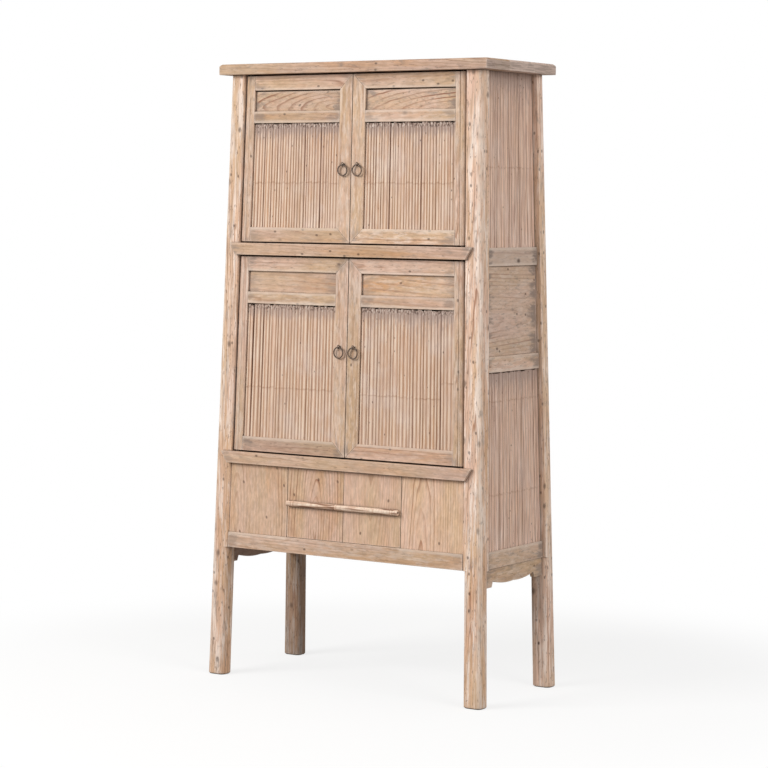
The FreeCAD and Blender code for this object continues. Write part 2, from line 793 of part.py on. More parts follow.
SIDE_FACE = "-side_rail_inset"
SIDE_INNER = "(side_rail_inset + side_rail_thickness)"
SIDE_SLAT_BACK = f"({SIDE_FACE} - slat_recess - slat_thickness)"
SIDE_PLANK_FRONT = f"({SIDE_FACE} - side_plank_recess)"
SIDE_PLANK_BACK = f"({SIDE_PLANK_FRONT} - side_plank_thickness)"
UPPER_SIDE_BOTTOM = "(upper_side_rail_top - upper_side_rail_height)"
MIDDLE_SIDE_BOTTOM = "(middle_side_rail_top - middle_side_rail_height)"
BOTTOM_SIDE_BOTTOM = "(bottom_side_rail_top - bottom_side_rail_height)"


SHELF_LEVELS = ("middle_rail_top", "middle_side_rail_top", "bottom_rail_top")


def side_slats_left(height):
    return f"-1 * {side_edge(height)}"


def side(side_name, face):
    slat_slot = (f"{SIDE_SLAT_BACK} - fit_clearance", f"{SIDE_SLAT_BACK} + slat_thickness + fit_clearance")
    plank_slot = (f"{SIDE_PLANK_BACK} - fit_clearance", f"{SIDE_PLANK_FRONT} + fit_clearance")
    slat_depth = f"-({SIDE_SLAT_BACK}) - slat_thickness"
    slats_under_top = level_at(face, f"(underside - fit_clearance)", slat_depth)

    def rail(top, bottom):
        return pad(span(bottom, top, side_edge), f"-{SIDE_INNER}", SIDE_FACE)

    def batten(top, bottom):
        low = f"(({top} + {bottom} - batten_height) / 2)"
        return pad(span(low, f"({low} + batten_height)", side_edge),
                   f"{SIDE_SLAT_BACK} - batten_thickness", SIDE_SLAT_BACK)

    def groove_above(top, slot):
        return pocket(span(f"({top} - groove_depth)", top, side_edge), *slot)

    def groove_below(bottom, slot):
        return pocket(span(bottom, f"({bottom} + groove_depth)", side_edge), *slot)

    keep(plate(f"{side_name}_side_rails", face, [
        rail("upper_side_rail_top", UPPER_SIDE_BOTTOM),
        rail("middle_side_rail_top", MIDDLE_SIDE_BOTTOM),
        rail("bottom_side_rail_top", BOTTOM_SIDE_BOTTOM),
        batten("underside", "upper_side_rail_top"),
        batten(MIDDLE_SIDE_BOTTOM, "bottom_side_rail_top"),
        groove_above("upper_side_rail_top", slat_slot),
        groove_below(UPPER_SIDE_BOTTOM, plank_slot),
        groove_above("middle_side_rail_top", plank_slot),
        groove_below(MIDDLE_SIDE_BOTTOM, slat_slot),
        groove_above("bottom_side_rail_top", slat_slot),
        *[shelf_groove(face, level, side_edge, SIDE_INNER) for level in SHELF_LEVELS],
    ]), f"{side_name}_side_rails")
    slat_fan(f"{side_name}_upper_side_slats", face, "upper_side_slats", side_slats_left, side_edge,
             f"(upper_side_rail_top - {TONGUE})", slats_under_top, SIDE_SLAT_BACK)
    slat_fan(f"{side_name}_lower_side_slats", face, "lower_side_slats", side_slats_left, side_edge,
             f"(bottom_side_rail_top - {TONGUE})", f"({MIDDLE_SIDE_BOTTOM} + {TONGUE})", SIDE_SLAT_BACK)
    keep(plate(f"{side_name}_side_plank", face, [
        pad(span(f"(middle_side_rail_top - {TONGUE})", f"({UPPER_SIDE_BOTTOM} + {TONGUE})",
                 moved(side_edge, "-1 * fit_clearance")), SIDE_PLANK_BACK, SIDE_PLANK_FRONT),
    ]), f"{side_name}_side_plank")
    apron_front = f"({SIDE_FACE} - apron_inset)"
    keep(plate(f"{side_name}_apron", face, [
        pad(apron_outline(), f"{apron_front} - apron_thickness", apron_front),
    ]), f"{side_name}_apron")


def apron_outline():
    """Square tabs beside the legs, then a notch, then a belly of two swelling arcs."""
    top = BOTTOM_SIDE_BOTTOM
    tab, notch, belly = [f"({top} - apron_{name}_drop)" for name in ("tab", "notch", "belly")]
    tab_end = f"({side_edge(tab)} - apron_tab_width)"
    arc_end = f"({tab_end} - apron_notch_width)"
    return [(f"-1 * {side_edge(tab)}", tab), (f"-1 * {tab_end}", tab),
            (f"-1 * {arc_end}", notch, "apron_belly_swell"), ("0", belly, "apron_belly_swell"),
            (arc_end, notch), (tab_end, tab), (side_edge(tab), tab),
            (side_edge(top), top), (f"-1 * {side_edge(top)}", top)]


for side_name, face in (("left", LEFT), ("right", RIGHT)):
    side(side_name, face)

# Back: plain rails and upright boards in their grooves

REAR_INNER = "(rear_rail_inset + rear_rail_thickness)"
BACK_FRONT = "-(rear_rail_inset + back_board_recess)"
BACK_BACK = f"({BACK_FRONT} - back_board_thickness)"
BACK_SLOT = (f"{BACK_BACK} - fit_clearance", f"{BACK_FRONT} + fit_clearance")
REAR_TOPS = ("middle_rail_top", "lower_rail_top", "bottom_rail_top")


def rear_rail_bottom(top):
    return f"({top} - rear_rail_height)"


def groove_under(top):
    bottom = rear_rail_bottom(top)
    return pocket(span(bottom, f"({bottom} + groove_depth)", front_edge), *BACK_SLOT)


rear_layers = [pad(span(rear_rail_bottom(top), top, front_edge), f"-{REAR_INNER}", "-rear_rail_inset")
               for top in REAR_TOPS]
rear_layers += [pocket(span(f"({top} - groove_depth)", top, front_edge), *BACK_SLOT) for top in REAR_TOPS]
rear_layers += [groove_under(top) for top in REAR_TOPS[:2]]
rear_layers += [shelf_groove(BACK, top, front_edge, REAR_INNER) for top in REAR_TOPS]
keep(plate("rear_rails", BACK, rear_layers), "rear_rails")

back_zones = [
    (f"(middle_rail_top - {TONGUE})", level_at(BACK, f"(underside - fit_clearance)", f"-({BACK_FRONT})")),
    (f"(lower_rail_top - {TONGUE})", f"({rear_rail_bottom('middle_rail_top')} + {TONGUE})"),
    (f"(bottom_rail_top - {TONGUE})", f"({rear_rail_bottom('lower_rail_top')} + {TONGUE})"),
]


def back_joint(index):
    """Edge of the boards at one joint, a set share of the clear width across."""
    return lambda height: f"({front_edge(height)} * (2 * {index} / back_boards - 1))"


board_count = round(number("back_boards"))
half_gap = "(back_board_gap / 2)"
board_edges = [(moved(back_joint(index), half_gap), moved(back_joint(index + 1), f"-1 * {half_gap}"))
               for index in range(board_count)]
keep(plate("back_boards", BACK, [
    pad(band(low, high, left, right), BACK_BACK, BACK_FRONT)
    for low, high in back_zones for left, right in board_edges
]), "back_boards")

# Shelves: three boards each, notched round the posts, with tongues in the rails' grooves


def shelf(label, rail_top, on_front_rail, on_rear_rail, on_sides):
    high = f"({rail_top} - shelf_drop)"
    low = f"({high} - shelf_thickness)"
    reach = "(shelf_tongue - fit_clearance)"
    rail_inside = f"({half_width(high)} - {SIDE_INNER} / cos({SIDE_LEAN}))"
    tight = f"({front_edge(high)} - fit_clearance)"
    wide = f"({rail_inside} + {reach})" if on_sides else tight
    notch = f"({side_edge(high)} - fit_clearance)"
    front_line = f"({half_depth(high)} - front_rail_depth / cos({FRONT_LEAN}) + {reach})"
    rear_line = f"({half_depth(high)} - {REAR_INNER} / cos({FRONT_LEAN}) + {reach})"
    behind_doors = f"({half_depth(high)} - shelf_setback)"
    front_line = front_line if on_front_rail else f"min({behind_doors}; {notch})"
    rear_line = rear_line if on_rear_rail else notch
    seam = "(shelf_middle_board / 2)"
    gap = "(shelf_board_gap / 2)"

    def end_board(sign, line, notched):
        inner, beside, outer = f"{sign} * ({seam} + {gap})", f"{sign} * {notch}", f"{sign} * {line}"
        if not notched:
            return rectangle(f"-1 * {wide}", wide, inner, outer)
        return [(f"-1 * {wide}", inner), (wide, inner), (wide, beside), (tight, beside), (tight, outer),
                (f"-1 * {tight}", outer), (f"-1 * {tight}", beside), (f"-1 * {wide}", beside)]

    boards = [end_board(-1, front_line, on_front_rail and on_sides),
              end_board(1, rear_line, on_rear_rail and on_sides),
              rectangle(f"-1 * {wide}", wide, f"{gap} - {seam}", f"{seam} - {gap}")]
    keep(plate(label, LEVEL, [pad(outline, low, high) for outline in boards]), label)


shelf("upper_shelf", "middle_rail_top", True, True, True)
shelf("middle_shelf", "middle_side_rail_top", False, False, True)
shelf("lower_shelf", "lower_rail_top", True, True, False)
shelf("cabinet_floor", "bottom_rail_top", True, True, True)

# Top: three long boards on the posts' tenons, rounded over along the outer upper edges

TOP_REACH = "(crown_width / 2 + top_side_overhang)"
TOP_DEPTH = "(crown_depth / 2 + top_front_overhang)"
TOP_SEAM = "(top_middle_board / 2)"


def top_board(label, near, far, ends):
    mortise_top = "underside + tenon_length + fit_clearance"
    body = plate(label + "_body", LEVEL, [
        pad(rectangle(f"-1 * {TOP_REACH}", TOP_REACH, near, far), "underside", "overall_height"),
        *[pocket(tenon_outline(hand, end, "fit_clearance"), "underside", mortise_top)
          for hand in HANDS.values() for end in ends],
    ])

    def outer_upper(edge):
        box = edge.BoundBox
        if box.ZMin < number("overall_height") - NEAR:
            return False
        at_end = abs(abs(box.Center.x) - number(TOP_REACH)) < NEAR
        along = abs(abs(box.Center.y) - number(TOP_DEPTH)) < NEAR
        return at_end or along

    dressed(body, "Fillet", outer_upper, "Radius", "top_edge_round")
    return body


half_seam = "(top_board_gap / 2)"
middle_reach, seam_reach = f"({TOP_SEAM} - {half_seam})", f"({TOP_SEAM} + {half_seam})"
front_board = top_board("top_front_board", f"-1 * {TOP_DEPTH}", f"-1 * {seam_reach}", [-1])
keep(drilled("top_front_board", front_board, pivot_holes("upper", True)), "top_front_board")
keep(top_board("top_middle_board", f"-1 * {middle_reach}", middle_reach, []), "top_middle_board")
keep(top_board("top_rear_board", seam_reach, TOP_DEPTH, [1]), "top_rear_board")

# Check everything, then write each sub-part

doc.recompute()
for thing in doc.Objects:
    if "Invalid" in thing.State or "Error" in thing.State:
        raise RuntimeError(f"{thing.Label} did not build: {thing.State}")
for label, thing in nodes.items():
    if thing.Shape.isNull() or not thing.Shape.isValid() or not thing.Shape.Solids:
        raise RuntimeError(f"{label} has no sound solid")

os.makedirs("parts", exist_ok=True)
for label, thing in nodes.items():
    thing.Shape.exportStep(f"parts/{label}.step")
print(len(nodes), "sub-parts,", sum(len(thing.Shape.Solids) for thing in nodes.values()), "solids")
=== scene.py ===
"""A tapered cabinet of washed softwood and split bamboo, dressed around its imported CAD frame."""
import json
import random
from math import atan, copysign, cos, exp, pi, radians, sin

import bmesh
import bpy
from mathutils import Matrix, Vector, noise

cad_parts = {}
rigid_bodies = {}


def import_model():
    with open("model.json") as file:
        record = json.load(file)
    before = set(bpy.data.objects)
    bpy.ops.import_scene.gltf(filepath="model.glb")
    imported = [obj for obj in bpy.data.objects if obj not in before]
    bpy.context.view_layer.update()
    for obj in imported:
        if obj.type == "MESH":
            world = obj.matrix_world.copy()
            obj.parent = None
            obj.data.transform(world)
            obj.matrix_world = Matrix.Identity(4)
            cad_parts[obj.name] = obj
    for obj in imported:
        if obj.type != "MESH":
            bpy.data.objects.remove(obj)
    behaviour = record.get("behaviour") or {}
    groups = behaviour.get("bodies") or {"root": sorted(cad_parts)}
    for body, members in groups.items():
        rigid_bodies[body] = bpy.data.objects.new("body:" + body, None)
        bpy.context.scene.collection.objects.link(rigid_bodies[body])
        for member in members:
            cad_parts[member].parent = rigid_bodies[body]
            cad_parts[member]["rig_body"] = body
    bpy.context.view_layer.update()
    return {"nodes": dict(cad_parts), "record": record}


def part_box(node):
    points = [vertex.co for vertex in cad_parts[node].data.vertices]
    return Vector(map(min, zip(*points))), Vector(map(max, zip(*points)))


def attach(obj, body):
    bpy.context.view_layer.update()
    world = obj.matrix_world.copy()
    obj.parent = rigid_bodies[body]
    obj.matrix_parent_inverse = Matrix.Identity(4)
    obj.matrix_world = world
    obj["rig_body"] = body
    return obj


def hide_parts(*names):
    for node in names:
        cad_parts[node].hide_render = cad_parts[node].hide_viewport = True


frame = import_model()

MM = 0.001
WHITE = (1, 1, 1, 1)
SCENE = bpy.context.scene
NODES = frame["nodes"]
SLOTS = {part["node"]: part["material_slot"] for part in frame["record"]["subparts"]}


def srgb(red, green, blue):
    """A colour as it looks on screen, 0 to 255, as linear light."""
    def linear(value):
        value /= 255
        return value / 12.92 if value <= 0.04045 else ((value + 0.055) / 1.055) ** 2.4
    return (linear(red), linear(green), linear(blue), 1.0)


def blend(start, end, share):
    """The value at a share of the way from start to end."""
    return start + (end - start) * share


def bell(distance, width):
    """1 at no distance, falling off smoothly over about the width."""
    return exp(-(distance / width) ** 2)


# Faces of the leaning case


class Face:
    """A leaning face of the case. A point of it is across, up and out, in metres."""

    def __init__(self, origin, across, lean):
        self.origin = Vector(origin)
        self.across = Vector(across)
        outward = self.across.cross(Vector((0, 0, 1)))
        self.up = Vector((0, 0, cos(lean))) - outward * sin(lean)
        self.out = self.across.cross(self.up)

    def point(self, u, v, w):
        """The point of space at u across, v up and w out."""
        return self.origin + self.across * u + self.up * v + self.out * w

    def read(self, point):
        """How far a point of space lies across, up and out."""
        step = Vector(point) - self.origin
        return step.dot(self.across), step.dot(self.up), step.dot(self.out)


UNDERSIDE = 1.720
FOOT_HALF = (0.4605, 0.213)
CROWN_HALF = (0.417, 0.168)
SIDE_LEAN = atan((FOOT_HALF[0] - CROWN_HALF[0]) / UNDERSIDE)
FRONT_LEAN = atan((FOOT_HALF[1] - CROWN_HALF[1]) / UNDERSIDE)
FRONT = Face((0, -FOOT_HALF[1], 0), (1, 0, 0), FRONT_LEAN)
RIGHT = Face((FOOT_HALF[0], 0, 0), (0, 1, 0), SIDE_LEAN)
LEFT = Face((-FOOT_HALF[0], 0, 0), (0, -1, 0), SIDE_LEAN)


# Shader nodes

OCCLUSION_SAMPLES = 6


class Shader:
    """A node tree under construction. Each method adds nodes and returns the output that matters."""

    def __init__(self, owner):
        owner.use_nodes = True
        self.owner = owner
        self.tree = owner.node_tree
        self.tree.nodes.clear()

    def add(self, kind, inputs=None, **settings):
        """A node with its settings, and with its inputs linked or set by name or number."""
        node = self.tree.nodes.new(kind)
        for key, value in settings.items():
            setattr(node, key, value)
        for key, value in (inputs or {}).items():
            if isinstance(value, bpy.types.NodeSocket):
                self.tree.links.new(value, node.inputs[key])
            else:
                node.inputs[key].default_value = value
        return node

    def math(self, operation, first, second=0.0):
        return self.add("ShaderNodeMath", {0: first, 1: second}, operation=operation).outputs[0]

    def plus(self, first, second):
        return self.math("ADD", first, second)

    def minus(self, first, second):
        return self.math("SUBTRACT", first, second)

    def times(self, first, *others):
        for other in others:
            first = self.math("MULTIPLY", first, other)
        return first

    def size(self, value):
        return self.math("ABSOLUTE", value)

    def larger(self, first, second):
        """1 where the first is the larger, and 0 elsewhere."""
        return self.math("GREATER_THAN", first, second)

    def vector(self, operation, first, second):
        return self.add("ShaderNodeVectorMath", {0: first, 1: second}, operation=operation).outputs[0]

    def parts(self, vector):
        return self.add("ShaderNodeSeparateXYZ", {0: vector}).outputs[0:3]

    def joined(self, x, y, z):
        return self.add("ShaderNodeCombineXYZ", {0: x, 1: y, 2: z}).outputs[0]

    def attribute(self, name):
        """A vector that the mesh carries on its points."""
        return self.add("ShaderNodeAttribute", attribute_name=name).outputs["Vector"]

    def object_place(self):
        return self.add("ShaderNodeTexCoord").outputs["Object"]

    def noise(self, vector, scale, detail=2.0, roughness=0.5, distortion=0.0):
        """Noise about one half, stretched by the three numbers of the scale."""
        stretched = self.vector("MULTIPLY", vector, scale)
        return self.add("ShaderNodeTexNoise", {
            "Vector": stretched, "Scale": 1.0, "Detail": detail, "Roughness": roughness,
            "Distortion": distortion}).outputs["Fac"]

    def cells(self, vector, scale, dimensions="3D"):
        """Scattered points: the distance to the nearest one, and a colour of chance for each."""
        stretched = self.vector("MULTIPLY", vector, scale)
        return self.add("ShaderNodeTexVoronoi", {"Vector": stretched, "Scale": 1.0},
                        voronoi_dimensions=dimensions).outputs

    def between(self, value, low, high, start=0.0, end=1.0):
        """A smooth step from start to end, as the value goes from low to high."""
        return self.add("ShaderNodeMapRange", {
            "Value": value, "From Min": low, "From Max": high, "To Min": start, "To Max": end},
            interpolation_type="SMOOTHSTEP").outputs[0]

    def mix(self, share, first, second):
        """The first colour with a share of the second in it."""
        return self.add("ShaderNodeMix", {0: share, 6: first, 7: second}, data_type="RGBA").outputs[2]

    def hollows(self, reach, **settings):
        """0 in the open, 1 deep in a corner or a gap."""
        node = self.add("ShaderNodeAmbientOcclusion", {"Distance": reach},
                        samples=OCCLUSION_SAMPLES, **settings)
        return self.minus(1.0, node.outputs["AO"])

    def arrises(self, reach):
        """0 on flat faces, rising towards 1 at worn outer edges."""
        return self.hollows(reach, inside=True, only_local=True)

    def seen(self):
        """1 where the camera looks, also by way of a reflection, and 0 where light falls."""
        path = self.add("ShaderNodeLightPath").outputs
        return self.math("MAXIMUM", path["Is Camera Ray"],
                         self.math("MAXIMUM", path["Is Glossy Ray"], path["Is Transmission Ray"]))

    def put_out(self, shader, kind="ShaderNodeOutputMaterial"):
        """Send a shader to the output, and return the finished material or world."""
        self.add(kind, {0: shader.outputs[0]})
        return self.owner


class Paint(Shader):
    """A material whose colour is built up in coats of named tints."""

    def __init__(self, name, tints):
        super().__init__(bpy.data.materials.new(name))
        self.tints = {tint: srgb(*levels) for tint, levels in tints.items()}
        self.colour = None

    def blended(self, share, first, second):
        """A colour between two tints."""
        return self.mix(share, self.tints[first], self.tints[second])

    def coat(self, tint, *amounts):
        """Lay a tint over the colour, as thick as the product of the amounts."""
        self.colour = self.mix(self.times(*amounts), self.colour, self.tints[tint])

    def shade(self, amount):
        """Multiply the colour by a grey amount."""
        self.colour = self.vector("MULTIPLY", self.colour, self.joined(amount, amount, amount))

    def finish(self, roughness, height, bump, depth, constants):
        """The material, with fine relief of a strength and a depth, and constants by socket name."""
        normal = self.add("ShaderNodeBump", {
            "Strength": bump, "Distance": depth, "Height": height}).outputs[0]
        return self.put_out(self.add("ShaderNodeBsdfPrincipled", {
            "Base Color": self.colour, "Roughness": roughness, "Normal": normal, **constants}))


# Softwood

WASHED_TINTS = {
    "pink": (217, 182, 160), "tan": (209, 176, 143), "warm": (204, 154, 110), "streak": (186, 142, 112),
    "late": (152, 102, 74), "pale": (238, 221, 208), "grey": (144, 128, 118), "edge": (236, 217, 200),
    "residue": (178, 156, 140), "fleck": (120, 93, 78), "weathered": (202, 180, 168), "dark": (58, 38, 28),
}
INNER_TINTS = {
    "pink": (172, 136, 110), "tan": (160, 124, 94), "warm": (158, 114, 80), "streak": (128, 92, 68),
    "late": (112, 74, 52), "pale": (190, 164, 142), "grey": (116, 100, 90), "edge": (192, 164, 140),
    "residue": (120, 98, 82), "fleck": (92, 66, 52), "weathered": (150, 130, 116), "dark": (38, 25, 18),
}
PITH_SWAY, PITH_RIPPLE = 30 * MM, 10 * MM
STAIN_REACH, STAIN_FULL = 60 * MM, 6 * MM
SAWN_REACH, SAWN_FULL = 2.4 * MM, 0.6 * MM
POST_STRETCH = 0.30


class Wood(Paint):
    """Paint that reads what dressed_wood leaves on the points of a board."""

    def __init__(self, name, tints):
        super().__init__(name, tints)
        self.grain = self.attribute("grain")
        self.along, self.across, self.depth = self.parts(self.grain)
        self.tone, self.figure, self.spacing = self.parts(self.attribute("board"))
        self.grey, self.pale, self.warm = self.parts(self.attribute("cast"))
        self.run, self.half, self.corner = self.parts(self.attribute("reach"))
        self.post = self.larger(self.size(self.corner), 0.02)


def growth_rings(sh):
    """Late wood by distance from a wandering pith, so that flat-sawn faces show cathedrals."""
    sway = sh.noise(sh.grain, (1.6, 9, 9), 1)
    ripple = sh.noise(sh.grain, (9, 40, 40), 2)
    across = sh.plus(sh.across, sh.times(sh.minus(sway, 0.5), PITH_SWAY))
    depth = sh.plus(sh.depth, sh.times(sh.minus(ripple, 0.5), PITH_RIPPLE))
    radius = sh.math("SQRT", sh.plus(sh.times(across, across), sh.times(depth, depth)))
    phase = sh.math("DIVIDE", radius, sh.spacing)
    step = sh.math("FRACT", phase)
    late = sh.times(sh.between(step, 0.55, 0.9), sh.between(step, 1, 0.92))
    age = sh.joined(sh.math("FLOOR", phase), sh.times(sh.along, 0.7), sh.tone)
    year = sh.between(sh.noise(age, (3.7, 3.7, 3.7), 0), 0.3, 0.7, 0.35, 1)
    faded = sh.between(sh.noise(sh.grain, (3, 12, 12), 2), 0.36, 0.6, 0.3, 1)
    return sh.times(late, year, sh.figure, faded)


def grain_coats(sh, drift, ring, fibre):
    """Colour that drifts along the board, with streaks, a pale wash in patches, rings and flecks."""
    # Along a post, the wash, the cracks and the mottle are drawn out
    stretch = sh.between(sh.post, 0, 1, 1, POST_STRETCH)
    drawn = sh.joined(sh.times(sh.along, stretch), sh.across, sh.depth)
    sh.colour = sh.blended(sh.between(drift, 0.34, 0.66), "pink", "tan")
    glow = sh.between(sh.noise(sh.grain, (2, 24, 24), 3, 0.6), 0.44, 0.66)
    sh.coat("warm", glow, sh.warm)
    streak = sh.between(sh.noise(sh.grain, (2.6, 85, 85), 3, 0.6), 0.54, 0.72)
    sh.coat("streak", streak, 0.35)
    wash = sh.between(sh.noise(drawn, (20, 85, 85), 6, 0.7), 0.45, 0.62)
    wash = sh.times(wash, sh.pale)
    sh.coat("pale", wash)
    sh.coat("late", ring, sh.between(wash, 0, 1, 1, 0.55))
    sh.shade(sh.between(fibre, 0.3, 0.7, 1.06, 0.9))
    fleck = sh.between(sh.noise(sh.grain, (48, 210, 210), 2, 0.7), 0.58, 0.7)
    sh.coat("fleck", fleck, sh.plus(sh.times(sh.grey, 0.7), sh.times(sh.post, 0.25)))
    crack = sh.between(sh.noise(drawn, (12, 150, 150), 3, 0.7), 0.57, 0.68)
    sh.coat("fleck", crack, sh.post, 0.45)
    mottle = sh.noise(drawn, (34, 95, 95), 3, 0.65)
    sh.shade(sh.between(mottle, 0.3, 0.7, 0.89, 1.08))


def stain_coats(sh, smear):
    """Weathering, grey stains that are thickest near a board's ends, and checked end grain."""
    to_end = sh.minus(sh.size(sh.half), sh.size(sh.run))
    at_end = sh.times(sh.between(to_end, STAIN_REACH, STAIN_FULL), sh.larger(sh.half, 0))
    sh.coat("weathered", sh.between(sh.grey, 0.76, 1), 0.6)
    sh.coat("grey", sh.between(sh.plus(smear, sh.times(at_end, 0.2)), 0.55, 0.76), sh.grey)
    checks = sh.between(sh.noise(sh.grain, (1, 16, 280), 4, 0.66), 0.42, 0.64)
    sawn = sh.between(to_end, SAWN_REACH, SAWN_FULL, 0, 0.75)
    sh.colour = sh.mix(sawn, sh.colour, sh.blended(checks, "weathered", "grey"))
    sh.shade(sh.tone)


def mark_coats(sh, smear):
    """Dents and small knots, most of them on the posts, and old nail holes, which it returns."""
    skin = sh.joined(sh.along, sh.plus(sh.across, sh.depth), 0)
    dent = sh.cells(skin, (13, 19, 0), "2D")
    luck, breadth, _ = sh.parts(dent["Color"])
    reach = sh.math("DIVIDE", dent["Distance"], sh.between(breadth, 0, 1, 0.55, 1.35))
    bruise = sh.between(sh.plus(reach, sh.times(smear, 0.14)), 0.22, 0.1)
    sh.coat("dark", bruise, sh.larger(sh.plus(luck, sh.times(sh.post, 0.26)), 0.95), sh.grey, 0.8)
    speck = sh.cells(skin, (21, 30, 0), "2D")
    luck = sh.plus(sh.parts(speck["Color"])[0], sh.times(sh.post, 0.1))
    hole = sh.times(sh.between(speck["Distance"], 0.13, 0.05), sh.larger(luck, 0.93))
    sh.coat("dark", hole, 0.65)
    return hole


def wear_and_shade_coats(sh):
    """Rubbed arrises, wash left in the corners, and dirt with painted shade in the joints and hollows."""
    chips = sh.noise(sh.grain, (26, 80, 80), 3, 0.6)
    sh.coat("edge", sh.between(sh.corner, 0.74, 1), sh.between(chips, 0.34, 0.62, 0.1, 0.65))
    edge = sh.between(sh.times(sh.arrises(9 * MM), sh.plus(chips, 0.4)), 0.2, 0.55)
    sh.coat("edge", edge, 0.45)
    shelter = sh.between(sh.times(sh.hollows(16 * MM), sh.plus(chips, 0.5)), 0.14, 0.46)
    sh.coat("residue", shelter, 0.4)
    # Dirt and painted shade in joints and hollows, cut to a quarter on a post's inner side
    dirt = sh.between(sh.times(sh.hollows(9 * MM), sh.plus(chips, 0.6)), 0.32, 0.8)
    sh.coat("dark", dirt, sh.between(sh.corner, -0.72, -0.5, 0.25, 1), 0.8)


def softwood(name, tints):
    """Old softwood: growth rings, a patchy pale wash, stains, dents, worn arrises, and corners darkened by
    grime and painted shade.
    """
    sh = Wood(name, tints)
    drift = sh.noise(sh.grain, (2.4, 11, 11), 3)
    fibre = sh.noise(sh.grain, (20, 330, 330), 2, 0.6)
    smear = sh.noise(sh.grain, (15, 50, 50), 4, 0.62, 0.3)
    ring = growth_rings(sh)
    grain_coats(sh, drift, ring, fibre)
    stain_coats(sh, smear)
    hole = mark_coats(sh, smear)
    wear_and_shade_coats(sh)
    height = sh.plus(sh.times(fibre, -0.6), sh.times(ring, -0.5))
    height = sh.plus(height, sh.times(hole, -1.5))
    rough = sh.between(drift, 0.25, 0.75, 0.6, 0.78)
    return sh.finish(rough, height, 0.4, 0.7 * MM, {"Specular IOR Level": 0.28})


# Bamboo

CANE_TINTS = {
    "skin": (214, 178, 154), "tan": (206, 167, 136), "upper": (204, 158, 126), "bloom": (230, 212, 202),
    "warm": (206, 154, 114), "aged": (204, 176, 162), "line": (158, 122, 108), "thread": (232, 216, 206),
    "ridge": (241, 220, 198), "valley": (128, 90, 68), "joint": (160, 116, 86), "soil": (164, 142, 132),
    "torn": (84, 64, 54), "frayed": (222, 205, 192), "hole": (66, 46, 36), "dirt": (62, 42, 32),
}


class Cane(Paint):
    """Paint that reads what slats and culm leave on the points of bamboo."""

    def __init__(self, name):
        super().__init__(name, CANE_TINTS)
        self.place = self.object_place()
        self.across, self.joint, self.soil = self.parts(self.attribute("slat"))
        self.tone, self.upper, offset = self.parts(self.attribute("lie"))
        # crack: how much painted shade darkens the valleys beside a strip
        self.crack, self.grey, self.lines = self.parts(self.attribute("rim"))
        self.spot = self.vector("ADD", self.place, self.joined(offset, offset, offset))


def skin_coats(sh, drift, streak):
    """The skin: zones of pale bloom and warm brown, with fine lines along it."""
    sh.colour = sh.blended(sh.between(drift, 0.3, 0.7), "skin", "tan")
    sh.coat("upper", sh.upper, 0.42)
    zone = sh.noise(sh.place, (9, 9, 8), 3, 0.6)
    sh.coat("bloom", sh.between(zone, 0.5, 0.7), 0.45)
    sh.coat("warm", sh.between(zone, 0.48, 0.32), 0.4)
    sh.coat("aged", sh.between(sh.lines, 0.4, 0.8, 0, 0.5))
    line = sh.between(sh.noise(sh.spot, (340, 340, 4), 3, 0.6), 0.47, 0.6)
    sh.coat("line", line, sh.lines)
    thread = sh.between(sh.noise(sh.spot, (520, 520, 5), 2), 0.53, 0.64)
    sh.coat("thread", thread, sh.lines, 0.6)
    sh.shade(sh.between(streak, 0.25, 0.75, 0.88, 1.08))
    sh.shade(sh.tone)


def ridge_coats(sh):
    """The ridge of each strip rubbed pale with a painted highlight, painted shade in the valleys between
    strips, and brown joints.
    """
    side = sh.size(sh.minus(sh.times(sh.across, 2), 1))
    film = sh.between(sh.noise(sh.spot, (150, 150, 14), 3, 0.6), 0.32, 0.6, 0.3, 1)
    # Painted highlight with pale rubbing along each ridge, and painted shade in the valleys, as deep as
    # crack
    sh.coat("ridge", sh.between(side, 0.66, 0.12), film, sh.between(sh.lines, 0, 1, 0.95, 0.2))
    sh.coat("valley", sh.between(side, 0.46, 0.94), sh.crack)
    sh.coat("joint", sh.joint, 0.46)


def dirt_and_shade_coats(sh):
    """Soil near the ends, which under the head is partly painted shade, torn and frayed ends, dirt and
    painted shade in the gaps, and worm holes, which it returns.
    """
    # Soil towards the ends, partly painted shade under the head
    grit = sh.noise(sh.spot, (300, 300, 30), 3, 0.65)
    soiled_and_shaded = sh.between(sh.plus(sh.soil, sh.times(sh.minus(grit, 0.5), 1.6)), 0.28, 0.8)
    sh.coat("soil", soiled_and_shaded, sh.grey)
    shred = sh.noise(sh.spot, (330, 330, 120), 2, 0.6)
    ragged = sh.times(sh.between(sh.soil, 0.8, 0.96), sh.between(sh.lines, 0.58, 0.64, 1, 0))
    sh.coat("torn", ragged, sh.between(shred, 0.47, 0.4))
    sh.coat("frayed", ragged, sh.between(shred, 0.56, 0.64))
    speck = sh.cells(sh.spot, (110, 110, 60))
    luck = sh.plus(sh.parts(speck["Color"])[0], sh.times(sh.soil, 0.26))
    hole = sh.times(sh.between(speck["Distance"], 0.24, 0.08), sh.larger(luck, 0.955))
    sh.coat("hole", hole, 0.8)
    # Dirt and painted shade in the gaps between strips
    sh.coat("dirt", sh.between(sh.hollows(9 * MM), 0.5, 0.98), 0.36)
    return hole


def bamboo(name):
    """Split bamboo: streaked skin, ridges rubbed pale with a painted highlight, painted shade in the
    valleys, and soil with painted shade at the ragged heads.
    """
    sh = Cane(name)
    drift = sh.noise(sh.spot, (26, 26, 6), 3)
    streak = sh.noise(sh.spot, (620, 620, 14), 3, 0.62)
    skin_coats(sh, drift, streak)
    ridge_coats(sh)
    hole = dirt_and_shade_coats(sh)
    height = sh.plus(sh.times(streak, 0.6), sh.times(hole, -1))
    rough = sh.between(drift, 0.25, 0.75, 0.5, 0.68)
    return sh.finish(rough, height, 0.3, 0.5 * MM, {"Specular IOR Level": 0.3})


# Iron

IRON_TINTS = {
    "black": (84, 74, 68), "brown": (112, 92, 78), "pit": (58, 48, 42), "handled": (146, 134, 124)}


